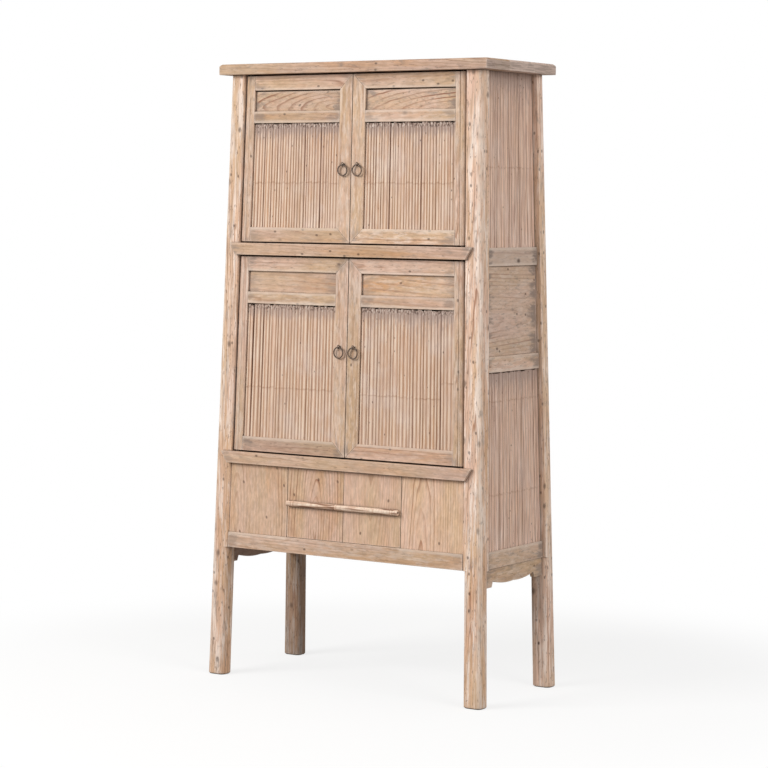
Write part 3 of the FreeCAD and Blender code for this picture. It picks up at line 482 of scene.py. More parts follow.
def iron(name):
    """Old forged iron: brown-black scale, paler where it is handled, with pits."""
    sh = Paint(name, IRON_TINTS)
    place = sh.object_place()
    scale = sh.noise(place, (420, 420, 420), 4, 0.62)
    drift = sh.noise(place, (130, 130, 130), 3)
    sh.colour = sh.blended(sh.between(drift, 0.35, 0.65), "black", "brown")
    sh.coat("pit", sh.between(scale, 0.52, 0.7))
    sh.coat("handled", sh.between(sh.arrises(3 * MM), 0.35, 0.75), 0.4)
    rough = sh.between(scale, 0.3, 0.7, 0.42, 0.66)
    return sh.finish(rough, scale, 0.4, 0.4 * MM, {"Metallic": 0.75})


WASHED = softwood("washed_wood", WASHED_TINTS)
INNER = softwood("inner_wood", INNER_TINTS)
BAMBOO = bamboo("split_bamboo")
IRON = iron("forged_iron")


# Mesh helpers

WELD = 0.01 * MM
WOOD_TRAITS = ("grain", "board", "cast", "reach")
CANE_TRAITS = ("slat", "lie", "rim")


def extent(verts):
    """The low and the high corner of the vertices' box."""
    return [[pick(vert.co[axis] for vert in verts) for axis in range(3)] for pick in (min, max)]


def middle_of(verts):
    return Vector([(low + high) / 2 for low, high in zip(*extent(verts))])


def spans_of(verts):
    return [high - low for low, high in zip(*extent(verts))]


def islands(bm):
    """The vertices of each closed solid of a mesh, in the order of the solids' middles."""
    left = set(bm.verts)
    groups = []
    while left:
        open_ends, group = [left.pop()], []
        while open_ends:
            vert = open_ends.pop()
            group.append(vert)
            for edge in vert.link_edges:
                other = edge.other_vert(vert)
                if other in left:
                    left.remove(other)
                    open_ends.append(other)
        groups.append(group)
    return sorted(groups, key=lambda group: tuple(round(c, 4) for c in middle_of(group)))


def cad_solids(node):
    """A CAD node's solids as a mesh to work on, with their faces joined along the edges."""
    bm = bmesh.new()
    bm.from_mesh(NODES[node].data)
    bmesh.ops.remove_doubles(bm, verts=bm.verts, dist=WELD)
    return bm


def skin(bm, rows):
    """Faces between each row of vertices and the next, all the way round."""
    for lower, upper in zip(rows, rows[1:]):
        for turn in range(len(lower)):
            after = (turn + 1) % len(lower)
            bm.faces.new((lower[turn], lower[after], upper[after], upper[turn]))


def cap(bm, rows):
    """A face on the first and on the last row."""
    bm.faces.new(rows[0][::-1])
    bm.faces.new(rows[-1])


def linked(name, data):
    """A new object in the scene."""
    thing = bpy.data.objects.new(name, data)
    SCENE.collection.objects.link(thing)
    return thing


def settle(bm, node, suffix, material, sharp, names=(), traits=()):
    """The finished piece in the place of a CAD node, riding on that node's body, with edges sharp from
    an angle in degrees. traits holds a vector for each of the names, point by point."""
    bmesh.ops.recalc_face_normals(bm, faces=bm.faces)
    mesh = bpy.data.meshes.new(node + suffix)
    bm.to_mesh(mesh)
    bm.free()
    for name, values in zip(names, zip(*traits)):
        layer = mesh.attributes.new(name, "FLOAT_VECTOR", "POINT")
        layer.data.foreach_set("vector", [component for value in values for component in value])
    mesh.materials.append(material)
    mesh.shade_smooth()
    mesh.set_sharp_from_angle(angle=radians(sharp))
    piece = linked(node + suffix, mesh)
    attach(piece, NODES[node]["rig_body"])
    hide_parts(node)
    return piece


# Boards, rails and posts: the CAD solids with worn arrises, and grain along each of them

GROOVE = 6.7 * MM
UPRIGHT_GRAIN = ("front_fixed_boards", "hatch_boards", "back_boards")
FLAT_ANGLE, ARRIS_ANGLE = radians(0.8), radians(40)
SHORTEST_ARRIS = 1.2 * MM
# Chosen figure of a solid, by node and by order in it: place and slope of the pith behind the board,
# ring width and strength, tone, shares of pale wash, warmth and grey, and how much a post's inner side is
# lifted by painted light (inner above 0) or lowered by painted shade (inner below 0)
FIGURES = {
    ("upper_left_door_plank", 0): dict(
        across=-0.016, behind=0.036, slope=-0.24, rings=0.01, strength=1.3,
        tone=0.91, pale=0.15, warm=0.3, grey=0.76),
    ("upper_right_door_plank", 0): dict(
        across=-0.045, behind=0.05, slope=-0.25, rings=0.01, strength=1.9,
        tone=1.0, pale=0.15, warm=0.15, grey=0.76),
    ("lower_left_door_plank", 0): dict(
        across=-0.09, behind=0.05, slope=0.05, rings=0.013, strength=0.5,
        tone=0.95, pale=0.15, warm=0.6, grey=0.45),
    ("lower_right_door_plank", 0): dict(
        across=0.07, behind=0.04, slope=-0.1, rings=0.014, strength=0.7,
        tone=1.05, pale=0.3, warm=0.9, grey=0.45),
    ("hatch_boards", 0): dict(
        across=0.004, behind=0.018, slope=0.17, rings=0.0085, strength=1.0,
        tone=1.03, pale=0.08, warm=0.45, grey=0.1),
    ("hatch_boards", 1): dict(
        across=-0.01, behind=0.04, slope=-0.1, rings=0.007, strength=0.4,
        tone=1.07, pale=0.1, warm=0.25, grey=0.1),
    ("front_fixed_boards", 0): dict(
        across=-0.075, behind=0.014, slope=0.14, rings=0.01, strength=0.7,
        tone=1.03, pale=0.1, grey=0.1),
    ("front_fixed_boards", 1): dict(
        across=-0.034, behind=0.03, slope=0.06, rings=0.0085, strength=0.8,
        tone=1.2, pale=0.15, warm=0.15, grey=0.1),
    ("right_side_plank", 0): dict(
        across=-0.03, behind=0.034, slope=0.07, rings=0.0095, strength=0.9,
        tone=1.02, pale=0.35, warm=0.0, grey=0.88),
    ("top_front_board", 0): dict(tone=0.87, pale=0.15, warm=0.65, grey=0.8, strength=0.8),
    ("top_middle_board", 0): dict(tone=1.06, pale=0.4, warm=0.0, grey=0.95, strength=1.0),
    ("top_rear_board", 0): dict(tone=1.04, pale=0.4, warm=0.0, grey=0.95, strength=1.0),
    ("right_side_rails", 1): dict(tone=0.98, pale=0.45, warm=0.0, grey=1.0),
    ("right_side_rails", 2): dict(tone=1.03, pale=0.4, warm=0.0, grey=0.8),
    ("right_side_rails", 4): dict(tone=1.03, pale=0.4, warm=0.0, grey=0.85),
    ("right_apron", 0): dict(pale=0.35, warm=0.1),
    # Darker tone: painted shade under the cabinet
    ("left_apron", 0): dict(tone=0.7),
    ("upper_left_door_rails", 1): dict(tone=0.88, pale=0.1, warm=0.5),
    ("upper_left_door_rails", 2): dict(tone=0.9, pale=0.15, warm=0.4),
    ("upper_right_door_rails", 1): dict(tone=1.08, pale=0.5, warm=0.2),
    ("lower_left_door_rails", 2): dict(tone=0.78, pale=0.1, grey=0.7),
    ("front_middle_rail", 0): dict(tone=0.94, pale=0.1, warm=0.8),
    ("front_lower_rail", 0): dict(tone=0.96, pale=0.15, warm=0.55),
    ("front_right_post", 0): dict(tone=1.2),
    # inner: painted light on this post's inner side, which the gap beside the door keeps in shade
    ("front_left_post", 0): dict(tone=1.11, inner=0.24),
    # tone lifted as painted light on a post that the side light leaves in shade; inner: painted shade on
    # its front face
    ("rear_right_post", 0): dict(tone=1.28, pale=0.8, warm=0.0, grey=0.82, inner=-0.22),
    # Darker tone: painted shade, since this leg stands in the cabinet's shadow
    ("rear_left_post", 0): dict(tone=0.62),
}
POST_FIGURE = dict(
    behind=0.05, slope=0.006, lean=0.004, rings=0.0058, strength=0.85, pale=0.85, warm=0.4, grey=0.75)
STILE_PALE, STILE_WARM, STILE_LIFT = 0.40, 0.10, 0.03


def figure_for(node, index, width, rng):
    """The figure of a solid: drawn by chance, then set for its kind, then as chosen for it."""
    figure = dict(
        across=rng.uniform(-0.55, 0.55) * width, behind=rng.uniform(0.012, 0.055),
        slope=rng.uniform(-0.05, 0.05), lean=rng.uniform(-0.02, 0.02),
        rings=rng.uniform(0.0060, 0.0110), strength=rng.uniform(0.45, 0.85),
        tone=rng.uniform(0.93, 1.03), grey=rng.uniform(0.40, 0.70), pale=rng.uniform(0.12, 0.36),
        warm=rng.uniform(0.10, 0.50), inner=0.0)
    if node.endswith("_post"):
        figure.update(POST_FIGURE)
    if node.endswith("_stile"):
        figure.update(pale=STILE_PALE, warm=STILE_WARM, tone=figure["tone"] + STILE_LIFT)
    figure.update(FIGURES.get((node, index), {}))
    return figure


# The upper planks have dropped out of the groove above them: by how much at the left and the right end
DROPS = {
    "upper_left_door_plank": (9.6 * MM, 9.2 * MM),
    "upper_right_door_plank": (10.6 * MM, 8.6 * MM),
}
# The pivot stiles' round edges are fuller than the CAD's, most at the left, where only a thin gap shows
POST_INNER_LEAN = 0.020
PIVOT_NOSE, LEFT_SWELL, RIGHT_SWELL = 6 * MM, 2.6 * MM, 0.4 * MM


def drop_plank(bm, left_drop, right_drop):
    """Lower a plank's upper edge, so that a dark gap shows under the rail."""
    middle, spans = middle_of(bm.verts), spans_of(bm.verts)
    for vert in bm.verts:
        if vert.co.z > middle.z:
            vert.co.z -= blend(left_drop, right_drop, (vert.co.x - middle.x) / spans[0] + 0.5)


def swell_pivot(bm):
    """Push the outermost part of a leaning pivot stile towards its post."""
    side = copysign(1, middle_of(bm.verts).x)
    swell = RIGHT_SWELL if side > 0 else LEFT_SWELL
    outermost = max(side * vert.co.x + POST_INNER_LEAN * vert.co.z for vert in bm.verts)
    for vert in bm.verts:
        inset = outermost - side * vert.co.x - POST_INNER_LEAN * vert.co.z
        vert.co.x += side * swell * max(0.0, 1 - inset / PIVOT_NOSE)


def is_arris(edge):
    """Whether an edge is an outer corner that wears."""
    return (len(edge.link_faces) == 2 and edge.calc_face_angle_signed(0.0) > ARRIS_ANGLE
            and edge.calc_length() > SHORTEST_ARRIS)


def worn_solids(node, wear):
    """The node's solids with rounded arrises, and with the forms that the CAD lacks."""
    bm = cad_solids(node)
    bmesh.ops.dissolve_limit(bm, angle_limit=FLAT_ANGLE, verts=bm.verts, edges=bm.edges)
    if node in DROPS:
        drop_plank(bm, *DROPS[node])
    if node.endswith("_pivot_stile"):
        swell_pivot(bm)
    arrises = [edge for edge in bm.edges if is_arris(edge)]
    bmesh.ops.bevel(bm, geom=arrises, offset=wear, offset_type="OFFSET", segments=2, profile=0.6,
                    affect="EDGES", clamp_overlap=False)
    bmesh.ops.recalc_face_normals(bm, faces=bm.faces)
    bm.normal_update()
    bm.verts.index_update()
    return bm


def dressed_wood(node, material, wear):
    """A node's worn solids, with the grain's place and the board's cast on every vertex."""
    bm = worn_solids(node, wear)
    rng = random.Random(node)
    upright, post = node in UPRIGHT_GRAIN, node.endswith("_post")
    # Planks stain from where they leave the groove, and a negative half length stands for clean ends
    hidden = GROOVE if node.endswith("_plank") else 0.0
    clean = upright or node.endswith(("_post", "_board"))
    traits = [None] * len(bm.verts)
    for index, group in enumerate(islands(bm)):
        middle, spans = middle_of(group), spans_of(group)
        along = 2 if upright else spans.index(max(spans))
        across, depth = sorted((axis for axis in range(3) if axis != along), key=lambda axis: -spans[axis])
        figure = figure_for(node, index, spans[across], rng)
        start = rng.uniform(0, 12)
        half = (spans[along] / 2 - hidden) * (-1 if clean else 1)
        outer = Vector((copysign(1, middle.x), copysign(1, middle.y), 0)).normalized()
        for vert in group:
            step = vert.co - middle
            run = step[along]
            corner = vert.normal.dot(outer) if post else 0.0
            # A post's inner side gets painted light where inner is above 0, and painted shade where it is
            # below 0
            tone = figure["tone"] * (1 + figure["inner"] * max(0.0, -corner))
            grain = (run + start,
                     step[across] - figure["across"] + figure["lean"] * run,
                     step[depth] + figure["behind"] + figure["slope"] * run)
            traits[vert.index] = (grain, (tone, figure["strength"], figure["rings"]),
                                  (figure["grey"], figure["pale"], figure["warm"]), (run, half, corner))
    piece = settle(bm, node, "_wood", material, 40, WOOD_TRAITS, traits)
    piece.modifiers.new("even_shading", "WEIGHTED_NORMAL").keep_sharp = True


# Bamboo slats: each CAD slat as a crowned strip with joints, bends and ragged ends

ROW_STEPS, CROWN_STEPS = 22, 8
FRONT_STEPS = [step / CROWN_STEPS for step in range(CROWN_STEPS + 1)]
ROUND_STEPS = [*FRONT_STEPS, 1.0, 0.0]
HEAD_ROWS = (1.5, 4, 8, 13)
JOINT_ROWS = (-7, -3.5, -1.8, -0.8, 0, 0.8, 1.8, 3.5, 7)
CROWN_FLATNESS, CROWN_FULLNESS = 2.6, 0.8
FREE_RUN = 20 * MM
JOINT_WIDTH, JOINT_SWELL = 1.5 * MM, 0.5 * MM
JOINT_LINE_DROP, JOINT_LINE_WIDTH = 1.2 * MM, 2.4 * MM
# Width of the soil and painted shade under a strip's head, and of the soil at its foot
HEAD_SOIL_AND_SHADE, FOOT_SOIL = 42 * MM, 6 * MM


class Panel:
    """How one panel looks: its face, the heights of the bamboo's joints, the depth of the valleys, the
    share of ragged heads, the reach and greyness of the soil and painted shade below the head, and whether
    slats are split in two. A gap is at a numbered joint between strips, with its width at the foot and at
    the head. joint_step raises the bamboo's joints in the last few strips, and edges is the room at both
    sides. Heights are in metres and other lengths in mm."""

    def __init__(self, face, joints, relief, ragged, soil_reach, grey, split=False, gaps=None,
                 joint_step=None, edges=(0.2, 0.2)):
        self.face, self.joints, self.relief, self.ragged = face, joints, relief * MM, ragged
        self.soil_reach, self.grey, self.split = soil_reach * MM, grey, split
        self.gaps, self.joint_step, self.edges = gaps or {}, joint_step, edges


UPPER_SIDE = dict(joints=[1.462], relief=0.9, ragged=0.0, soil_reach=110, grey=0.65, split=True)
LOWER_SIDE = dict(joints=[0.827, 0.572], relief=0.9, ragged=0.8, soil_reach=90, grey=0.65, split=True)
PANELS = {
    "upper_left_door_slats": Panel(
        FRONT, joints=[1.417], relief=1.25, ragged=0.7, soil_reach=70, grey=0.80,
        gaps={4: (0.5, 0.9), 19: (0.6, 1.8), 25: (1.6, 1.2)}),
    "upper_right_door_slats": Panel(
        FRONT, joints=[1.417], relief=1.25, ragged=0.6, soil_reach=55, grey=0.75,
        gaps={9: (1.7, 1.1), 20: (0.6, 1.0)}),
    "lower_left_door_slats": Panel(
        FRONT, joints=[0.838], relief=1.25, ragged=0.4, soil_reach=36, grey=0.60,
        gaps={2: (0.6, 3.0), 5: (0.5, 1.0)}),
    "lower_right_door_slats": Panel(
        FRONT, joints=[0.832], relief=1.25, ragged=0.6, soil_reach=70, grey=0.75,
        gaps={24: (1.2, 0.6)}, joint_step=(4, 0.045)),
    "right_upper_side_slats": Panel(
        RIGHT, **UPPER_SIDE, edges=(0.8, 1.8),
        gaps={7: (1.6, 0.5), 15: (0.4, 1.0), 21: (1.5, 1.2), 33: (1.4, 1.0)}),
    "right_lower_side_slats": Panel(
        RIGHT, **LOWER_SIDE, edges=(0.8, 2.4),
        gaps={5: (0.4, 1.0), 11: (1.0, 0.8), 27: (1.0, 0.8), 36: (0.6, 1.4)}),
    "left_upper_side_slats": Panel(
        LEFT, **UPPER_SIDE, edges=(1.8, 0.8), gaps={9: (1.2, 0.5), 23: (1.3, 1.0)}),
    "left_lower_side_slats": Panel(
        LEFT, **LOWER_SIDE, edges=(2.0, 0.8), gaps={13: (1.0, 0.8), 29: (0.8, 1.0)}),
}


def slat_ends(face, group):
    """(across low, across high, out low, out high, up) at the lower and the upper end of a CAD slat."""
    places = [face.read(vert.co) for vert in group]
    half = (min(place[1] for place in places) + max(place[1] for place in places)) / 2
    ends = []
    for upper, pick in ((False, min), (True, max)):
        across, up, out = zip(*(place for place in places if (place[1] >= half) == upper))
        ends.append((min(across), max(across), min(out), max(out), pick(up)))
    return ends


def strip_joints(ends, panel, rng):
    """Uneven joints between strips, from one edge of a panel to the other: across at foot and at head."""
    joints = [(ends[0][0][0], ends[0][1][0])]
    for before, after in zip(ends, ends[1:]):
        shift = rng.uniform(-0.20, 0.20) * (after[0][0] - before[0][0])
        joints.append(tuple((before[end][1] + after[end][0]) / 2 + shift for end in (0, 1)))
    joints.append((ends[-1][0][1], ends[-1][1][1]))
    if panel.split:
        finer = []
        for left, right in zip(joints, joints[1:]):
            share = rng.uniform(0.3, 0.7)
            finer += [left, tuple(blend(a, b, share) for a, b in zip(left, right))]
        joints = finer + joints[-1:]
    return joints


class Fan:
    """The strips of a panel: the joints between them, the room and the share of painted valley shade at
    each, and the panel's foot, top, back and front from its middle slat. A pair is for the foot and for
    the head."""

    def __init__(self, node, panel):
        self.panel, self.rng = panel, random.Random(node)
        source = cad_solids(node)
        ends = sorted(slat_ends(panel.face, group) for group in islands(source))
        source.free()
        low, high = ends[len(ends) // 2]
        self.backs, self.fronts = (low[2], high[2]), (low[3], high[3])
        self.foot, self.top = low[4], high[4]
        self.joints = strip_joints(ends, panel, self.rng)
        self.rooms, self.valley_shades = [], []
        last = len(self.joints) - 1
        for number in range(last + 1):
            plain = self.rng.uniform(0.0, 0.25)
            widths = panel.gaps.get(number, (plain, plain))
            if number in (0, last):
                widths = [2 * panel.edges[number > 0]] * 2
            self.rooms.append([width * MM / 2 for width in widths])
            # How much painted shade darkens the valleys at each joint; full at the open gaps
            crack = self.rng.choice((0.1, 0.2, 0.3, 0.5))
            if panel.split:
                crack += 0.45 * (1 - number % 2)
            self.valley_shades.append(1.0 if number in panel.gaps else crack)

    def share(self, height):
        """How far up the panel a height is, from 0 to 1."""
        return (height - self.foot) / (self.top - self.foot)


class Strip:
    """One strip of a fan: what chance gives it, in a fixed order of draws, and its joints and head."""

    def __init__(self, fan, number):
        panel, rng = fan.panel, fan.rng
        self.fan, self.number = fan, number
        self.tone, self.offset = rng.uniform(0.92, 1.06), rng.uniform(0, 9)
        if panel.split:
            self.tone = 1.36 * (0.5 + 0.5 * self.tone)
        self.sink, self.tilt = rng.uniform(0, 0.8) * MM, rng.uniform(-0.4, 0.4) * MM
        self.bend, self.turn = rng.uniform(-0.3, 0.3) * MM, rng.uniform(0, 6.28)
        short = rng.uniform(0.5, 4.5) * MM + GROOVE if rng.random() < panel.ragged else 0.0
        self.head = fan.top - short
        shift, self.faint = rng.uniform(-2.2, 2.2) * MM, rng.uniform(0.15, 1.0)
        self.glow = rng.uniform(-0.45, 0.45)
        self.joints = [height / cos(FRONT_LEAN) + shift for height in panel.joints]
        if panel.joint_step and number >= len(fan.joints) - 1 - panel.joint_step[0]:
            self.joints = [height + panel.joint_step[1] for height in self.joints]

    def heights(self):
        """Heights of the rows: even steps, and closer ones below the head and about the joints."""
        foot, head = self.fan.foot, self.head
        heights = [foot + (head - foot) * step / ROW_STEPS for step in range(ROW_STEPS + 1)]
        heights += [head - step * MM for step in HEAD_ROWS]
        heights += [joint + step * MM for joint in self.joints for step in JOINT_ROWS]
        return sorted(height for height in heights if foot <= height <= head)

    def row(self, bm, height):
        """A row of vertices round the strip, crowned in front and flat behind."""
        fan, share = self.fan, self.fan.share(height)
        left, right = (blend(*fan.joints[n], share) for n in (self.number, self.number + 1))
        room = [blend(*fan.rooms[n], share) for n in (self.number, self.number + 1)]
        back, front = blend(*fan.backs, share), blend(*fan.fronts, share)
        # The strip is held straight in the grooves at its ends
        free = min(1.0, max(0.0, min(height - fan.foot, fan.top - height) - GROOVE) / FREE_RUN)
        wander = self.bend * sin(self.turn + 9 * share) * free
        start, end = left + wander + room[0], right + wander - room[1]
        swell = JOINT_SWELL * max(bell(height - joint, JOINT_WIDTH) for joint in self.joints)
        outs = []
        for across in FRONT_STEPS:
            crown = max(0.0, 1 - abs(2 * across - 1) ** CROWN_FLATNESS) ** CROWN_FULLNESS
            lift = (self.tilt * (2 * across - 1) + swell) * free * crown
            outs.append(front - self.sink * free - fan.panel.relief * (1 - crown) + lift)
        places = zip(ROUND_STEPS, [*outs, back, back])
        return [bm.verts.new(fan.panel.face.point(blend(start, end, across), height, out))
                for across, out in places]

    def looks(self, height):
        """The looks of a row's vertices: what Cane reads as slat, lie and rim."""
        fan, panel = self.fan, self.fan.panel
        line = self.faint * max(
            bell(height - joint + JOINT_LINE_DROP, JOINT_LINE_WIDTH) for joint in self.joints)
        below = max(0.0, fan.top - GROOVE - height)
        above = max(0.0, height - fan.foot - GROOVE)
        # Soil, with painted shade under the head: darkest just below it and fading down the panel, and
        # some soil at the foot
        soil = max(bell(below, HEAD_SOIL_AND_SHADE), 0.80 * exp(-below / panel.soil_reach),
                   0.6 * exp(-above / FOOT_SOIL))
        upper = min(1.0, max(0.0, (0.75 if height > self.joints[0] else 0.15) + self.glow))
        # On the split side panels, darker towards the top: partly painted shade under the top, partly soil
        tone = self.tone * (1.05 - 0.09 * fan.share(height)) if panel.split else self.tone
        calm = noise.noise(Vector((0.17 * self.number, 6 * height, 40 * fan.joints[0][0])))
        lines = 0.75 if panel.split else 0.35 + 0.22 * calm
        # Painted shade in the valleys beside this strip, weaker where calm is high
        valley_shades = [min(1.0, fan.valley_shades[n] * (1 - 0.7 * calm)) for n in (self.number, self.number + 1)]
        return [((across, line, soil), (tone, upper, self.offset),
                 (valley_shades[across > 0.5], panel.grey, lines)) for across in ROUND_STEPS]


def slats(node, panel):
    """A panel of bamboo strips in the place of its CAD slats."""
    fan = Fan(node, panel)
    bm = bmesh.new()
    traits = []
    for number in range(len(fan.joints) - 1):
        strip = Strip(fan, number)
        heights = strip.heights()
        rows = [strip.row(bm, height) for height in heights]
        for height in heights:
            traits += strip.looks(height)
        skin(bm, rows)
        cap(bm, rows)
    settle(bm, node, "_bamboo", BAMBOO, 55, CANE_TRAITS, traits)


# Iron: rings, eyes and nails as hand-forged bar

RING_RADIUS, RING_WIRE, RING_STEPS, RING_SIDES = 15 * MM, 4 * MM, 72, 14
EYE_RADIUS, EYE_WIRE, EYE_STEPS, EYE_SIDES = 5 * MM, 2.6 * MM, 36, 12
EYE_LEG, EYE_LEG_STEPS = 13.5 * MM, 6
PULL_HEIGHTS = {"upper": 1.4665, "lower": 0.961}
NAIL_INSET, NAIL_SIDES = 2.5 * MM, 14


def place_on_front(node):
    """A node's box, how far up the front its middle is, and how far out its back and its front are."""
    low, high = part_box(node)
    middle = (low + high) / 2
    up = FRONT.read(middle)[1]
    back, front = (FRONT.read((0, y, middle.z))[2] for y in (high.y, low.y))
    return low, high, up, back, front


def circle(centre, first, second, radius, steps):
    """Points round a circle in the plane of two directions."""
    turns = [2 * pi * step / steps for step in range(steps)]
    return [centre + (first * cos(turn) + second * sin(turn)) * radius for turn in turns]


def swept(bm, path, closed, radius_at, sides):
    """A round bar along a path. radius_at gives the bar's radius at a share of it and a turn round it."""
    count = len(path)
    centre = sum(path, Vector()) / count
    rows = []
    for step, point in enumerate(path):
        ahead = path[(step + 1) % count] if closed or step + 1 < count else point
        behind = path[step - 1] if closed or step else point
        run = (ahead - behind).normalized()
        side = (point - centre if closed else run.cross(Vector((0.13, 0.31, 0.94)))).normalized()
        other = run.cross(side).normalized()
        row = []
        for turn in range(sides):
            angle = 2 * pi * turn / sides
            reach = radius_at(step / count, angle)
            row.append(bm.verts.new(point + (side * cos(angle) + other * sin(angle)) * reach))
        rows.append(row)
    skin(bm, rows + rows[:1] if closed else rows)
    if not closed:
        cap(bm, rows)


def forged_ring(node):
    """A loose ring of round bar with hammer marks and a thinner weld."""
    low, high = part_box(node)
    rng = random.Random(node)
    phase, lap = rng.uniform(0, 6), rng.uniform(0, 1)

    def bar(share, angle):
        spot = Vector((share * 19 + phase, cos(angle) * 0.8, sin(angle) * 0.8))
        return RING_WIRE / 2 * (0.955 + 0.04 * noise.noise(spot) - 0.05 * bell(share - lap, 0.02))

    bm = bmesh.new()
    path = circle((low + high) / 2, Vector((1, 0, 0)), Vector((0, 0, 1)), RING_RADIUS, RING_STEPS)
    swept(bm, path, True, bar, RING_SIDES)
    settle(bm, node, "_forged", IRON, 60)


def forged_eye(node, height):
    """A bent wire eye whose legs go into the stile as one tapered bar."""
    low, high, _, _, front = place_on_front(node)
    across, up = (low.x + high.x) / 2, height / cos(FRONT_LEAN)
    out = front - EYE_RADIUS - EYE_WIRE / 2
    centre = FRONT.point(across, up, out)
    root = FRONT.point(across, up, out - EYE_RADIUS + EYE_WIRE / 4)
    loop = circle(centre, FRONT.out, FRONT.up, EYE_RADIUS, EYE_STEPS)
    legs = [root - FRONT.out * (EYE_LEG * step / EYE_LEG_STEPS) for step in range(EYE_LEG_STEPS + 1)]
    bm = bmesh.new()
    swept(bm, loop, True, lambda share, angle: EYE_WIRE / 2 * 0.97, EYE_SIDES)
    swept(bm, legs, False, lambda share, angle: EYE_WIRE / 2 * (1.25 - 0.2 * share), EYE_SIDES)
    settle(bm, node, "_forged", IRON, 60)


def nails(node):
    """A nail with a domed head at each end of the handle."""
    low, high, up, back, front = place_on_front(node)
    profile = [(back, 0.9 * MM), (back + 1 * MM, 1.6 * MM), (front - 1.2 * MM, 1.8 * MM),
               (front - 0.9 * MM, 2.9 * MM), (front - 0.3 * MM, 2.6 * MM), (front, 1.2 * MM)]
    bm = bmesh.new()
    for x in (low.x + NAIL_INSET, high.x - NAIL_INSET):
        rows = []
        for out, radius in profile:
            ring = circle(FRONT.point(x, up, out), FRONT.across, FRONT.up, radius, NAIL_SIDES)
            rows.append([bm.verts.new(point) for point in ring])
        skin(bm, rows)
        cap(bm, rows)
    settle(bm, node, "_forged", IRON, 50)


# The hatch's handle: a bamboo culm with swollen joints and hollow cut ends

HANDLE_RADIUS, HANDLE_STEPS, HANDLE_SIDES = 8.25 * MM, 120, 28
HANDLE_JOINTS = (-0.166, -0.020, 0.166)
HANDLE_JOINT_ROWS = (-4, -2, -1, 0, 1, 2, 4)
HANDLE_SWELL, HANDLE_MARGIN, HANDLE_SEAT = 0.6 * MM, 0.7 * MM, 0.05 * MM
HOLLOW_SHARE, HOLLOW_DEPTH = 0.55, 7 * MM
SMOKED_LEFT, SMOKED_RIGHT = 0.12, -0.08
SHADE_TURN = radians(15)
# The handle's looks where they don't change: the pattern's offset, the rim, and the cut end's wall, and
# its pit, darkened with painted shade inside the hollow
HANDLE_OFFSET = 3.0
HANDLE_RIM = (1.0, 0.6, 0.2)
HANDLE_WALL = ((0.5, 0.0, 0.0), (1.12, 0.0, HANDLE_OFFSET), HANDLE_RIM)
HANDLE_PIT = ((1.0, 0.0, 1.0), (0.6, 0.0, HANDLE_OFFSET), HANDLE_RIM)


def culm_looks(x, angle, half):
    """Smoke marks, painted shade below and a painted highlight along the front, dark lines beside the
    joints, and pale joints and ends.
    """
    line = max(bell(abs(x - joint) - 4.0 * MM, 1.3 * MM) for joint in HANDLE_JOINTS)
    bright = max(bell(x - place, 4.0 * MM) for place in (*HANDLE_JOINTS, -half, half))
    smoke = noise.noise(Vector((x * 16, 2.4 * cos(angle) + 5, 2.4 * sin(angle))))
    smoke = max(0.0, smoke + (SMOKED_LEFT if x < HANDLE_JOINTS[1] else SMOKED_RIGHT))
    shaded = max(0.0, 0.6 * (1 - cos(angle - SHADE_TURN)))
    across = 0.5 + 0.5 * min(1.0, shaded + 2.0 * smoke)
    return (across, line, 0.15), (1.0 + 0.16 * bright, 0.3, HANDLE_OFFSET), HANDLE_RIM


def culm(node):
    """The handle's culm, flat where it lies on the hatch."""
    low, high, up, back, front = place_on_front(node)
    half = (high.x - low.x) / 2
    axis_out = front - HANDLE_RADIUS - HANDLE_MARGIN
    even = {round(-half + 2 * half * step / HANDLE_STEPS, 6) for step in range(HANDLE_STEPS + 1)}
    close = {round(joint + step * MM, 6) for joint in HANDLE_JOINTS for step in HANDLE_JOINT_ROWS}
    bm = bmesh.new()
    traits, rows = [], []
    for x in sorted(even | close):
        swell = HANDLE_SWELL * max(bell(x - joint, 2.0 * MM) for joint in HANDLE_JOINTS)
        radius = HANDLE_RADIUS * (0.965 + 0.02 * sin(21 * x + 1.0)) + swell
        row = []
        for turn in range(HANDLE_SIDES):
            angle = 2 * pi * turn / HANDLE_SIDES
            uneven = noise.noise(Vector((x * 30, cos(angle), sin(angle))))
            reach = radius * (1 + 0.012 * uneven)
            out = max(axis_out + reach * cos(angle), back + HANDLE_SEAT)
            row.append(bm.verts.new(FRONT.point(x, up + reach * sin(angle), out)))
            traits.append(culm_looks(x, angle, half))
        rows.append(row)
    skin(bm, rows)
    for row, inward in ((rows[0], 1), (rows[-1], -1)):
        middle = sum((vert.co for vert in row), Vector()) / HANDLE_SIDES
        rim = [bm.verts.new(blend(middle, vert.co, HOLLOW_SHARE)) for vert in row]
        pit = [bm.verts.new(vert.co + Vector((inward * HOLLOW_DEPTH, 0, 0))) for vert in rim]
        traits += [HANDLE_WALL] * HANDLE_SIDES + [HANDLE_PIT] * HANDLE_SIDES
        skin(bm, [row, rim, pit])
        bm.faces.new(pit)
    settle(bm, node, "_bamboo", BAMBOO, 50, CANE_TRAITS, traits)


# Studio: pale floor, white surroundings, soft light and the camera

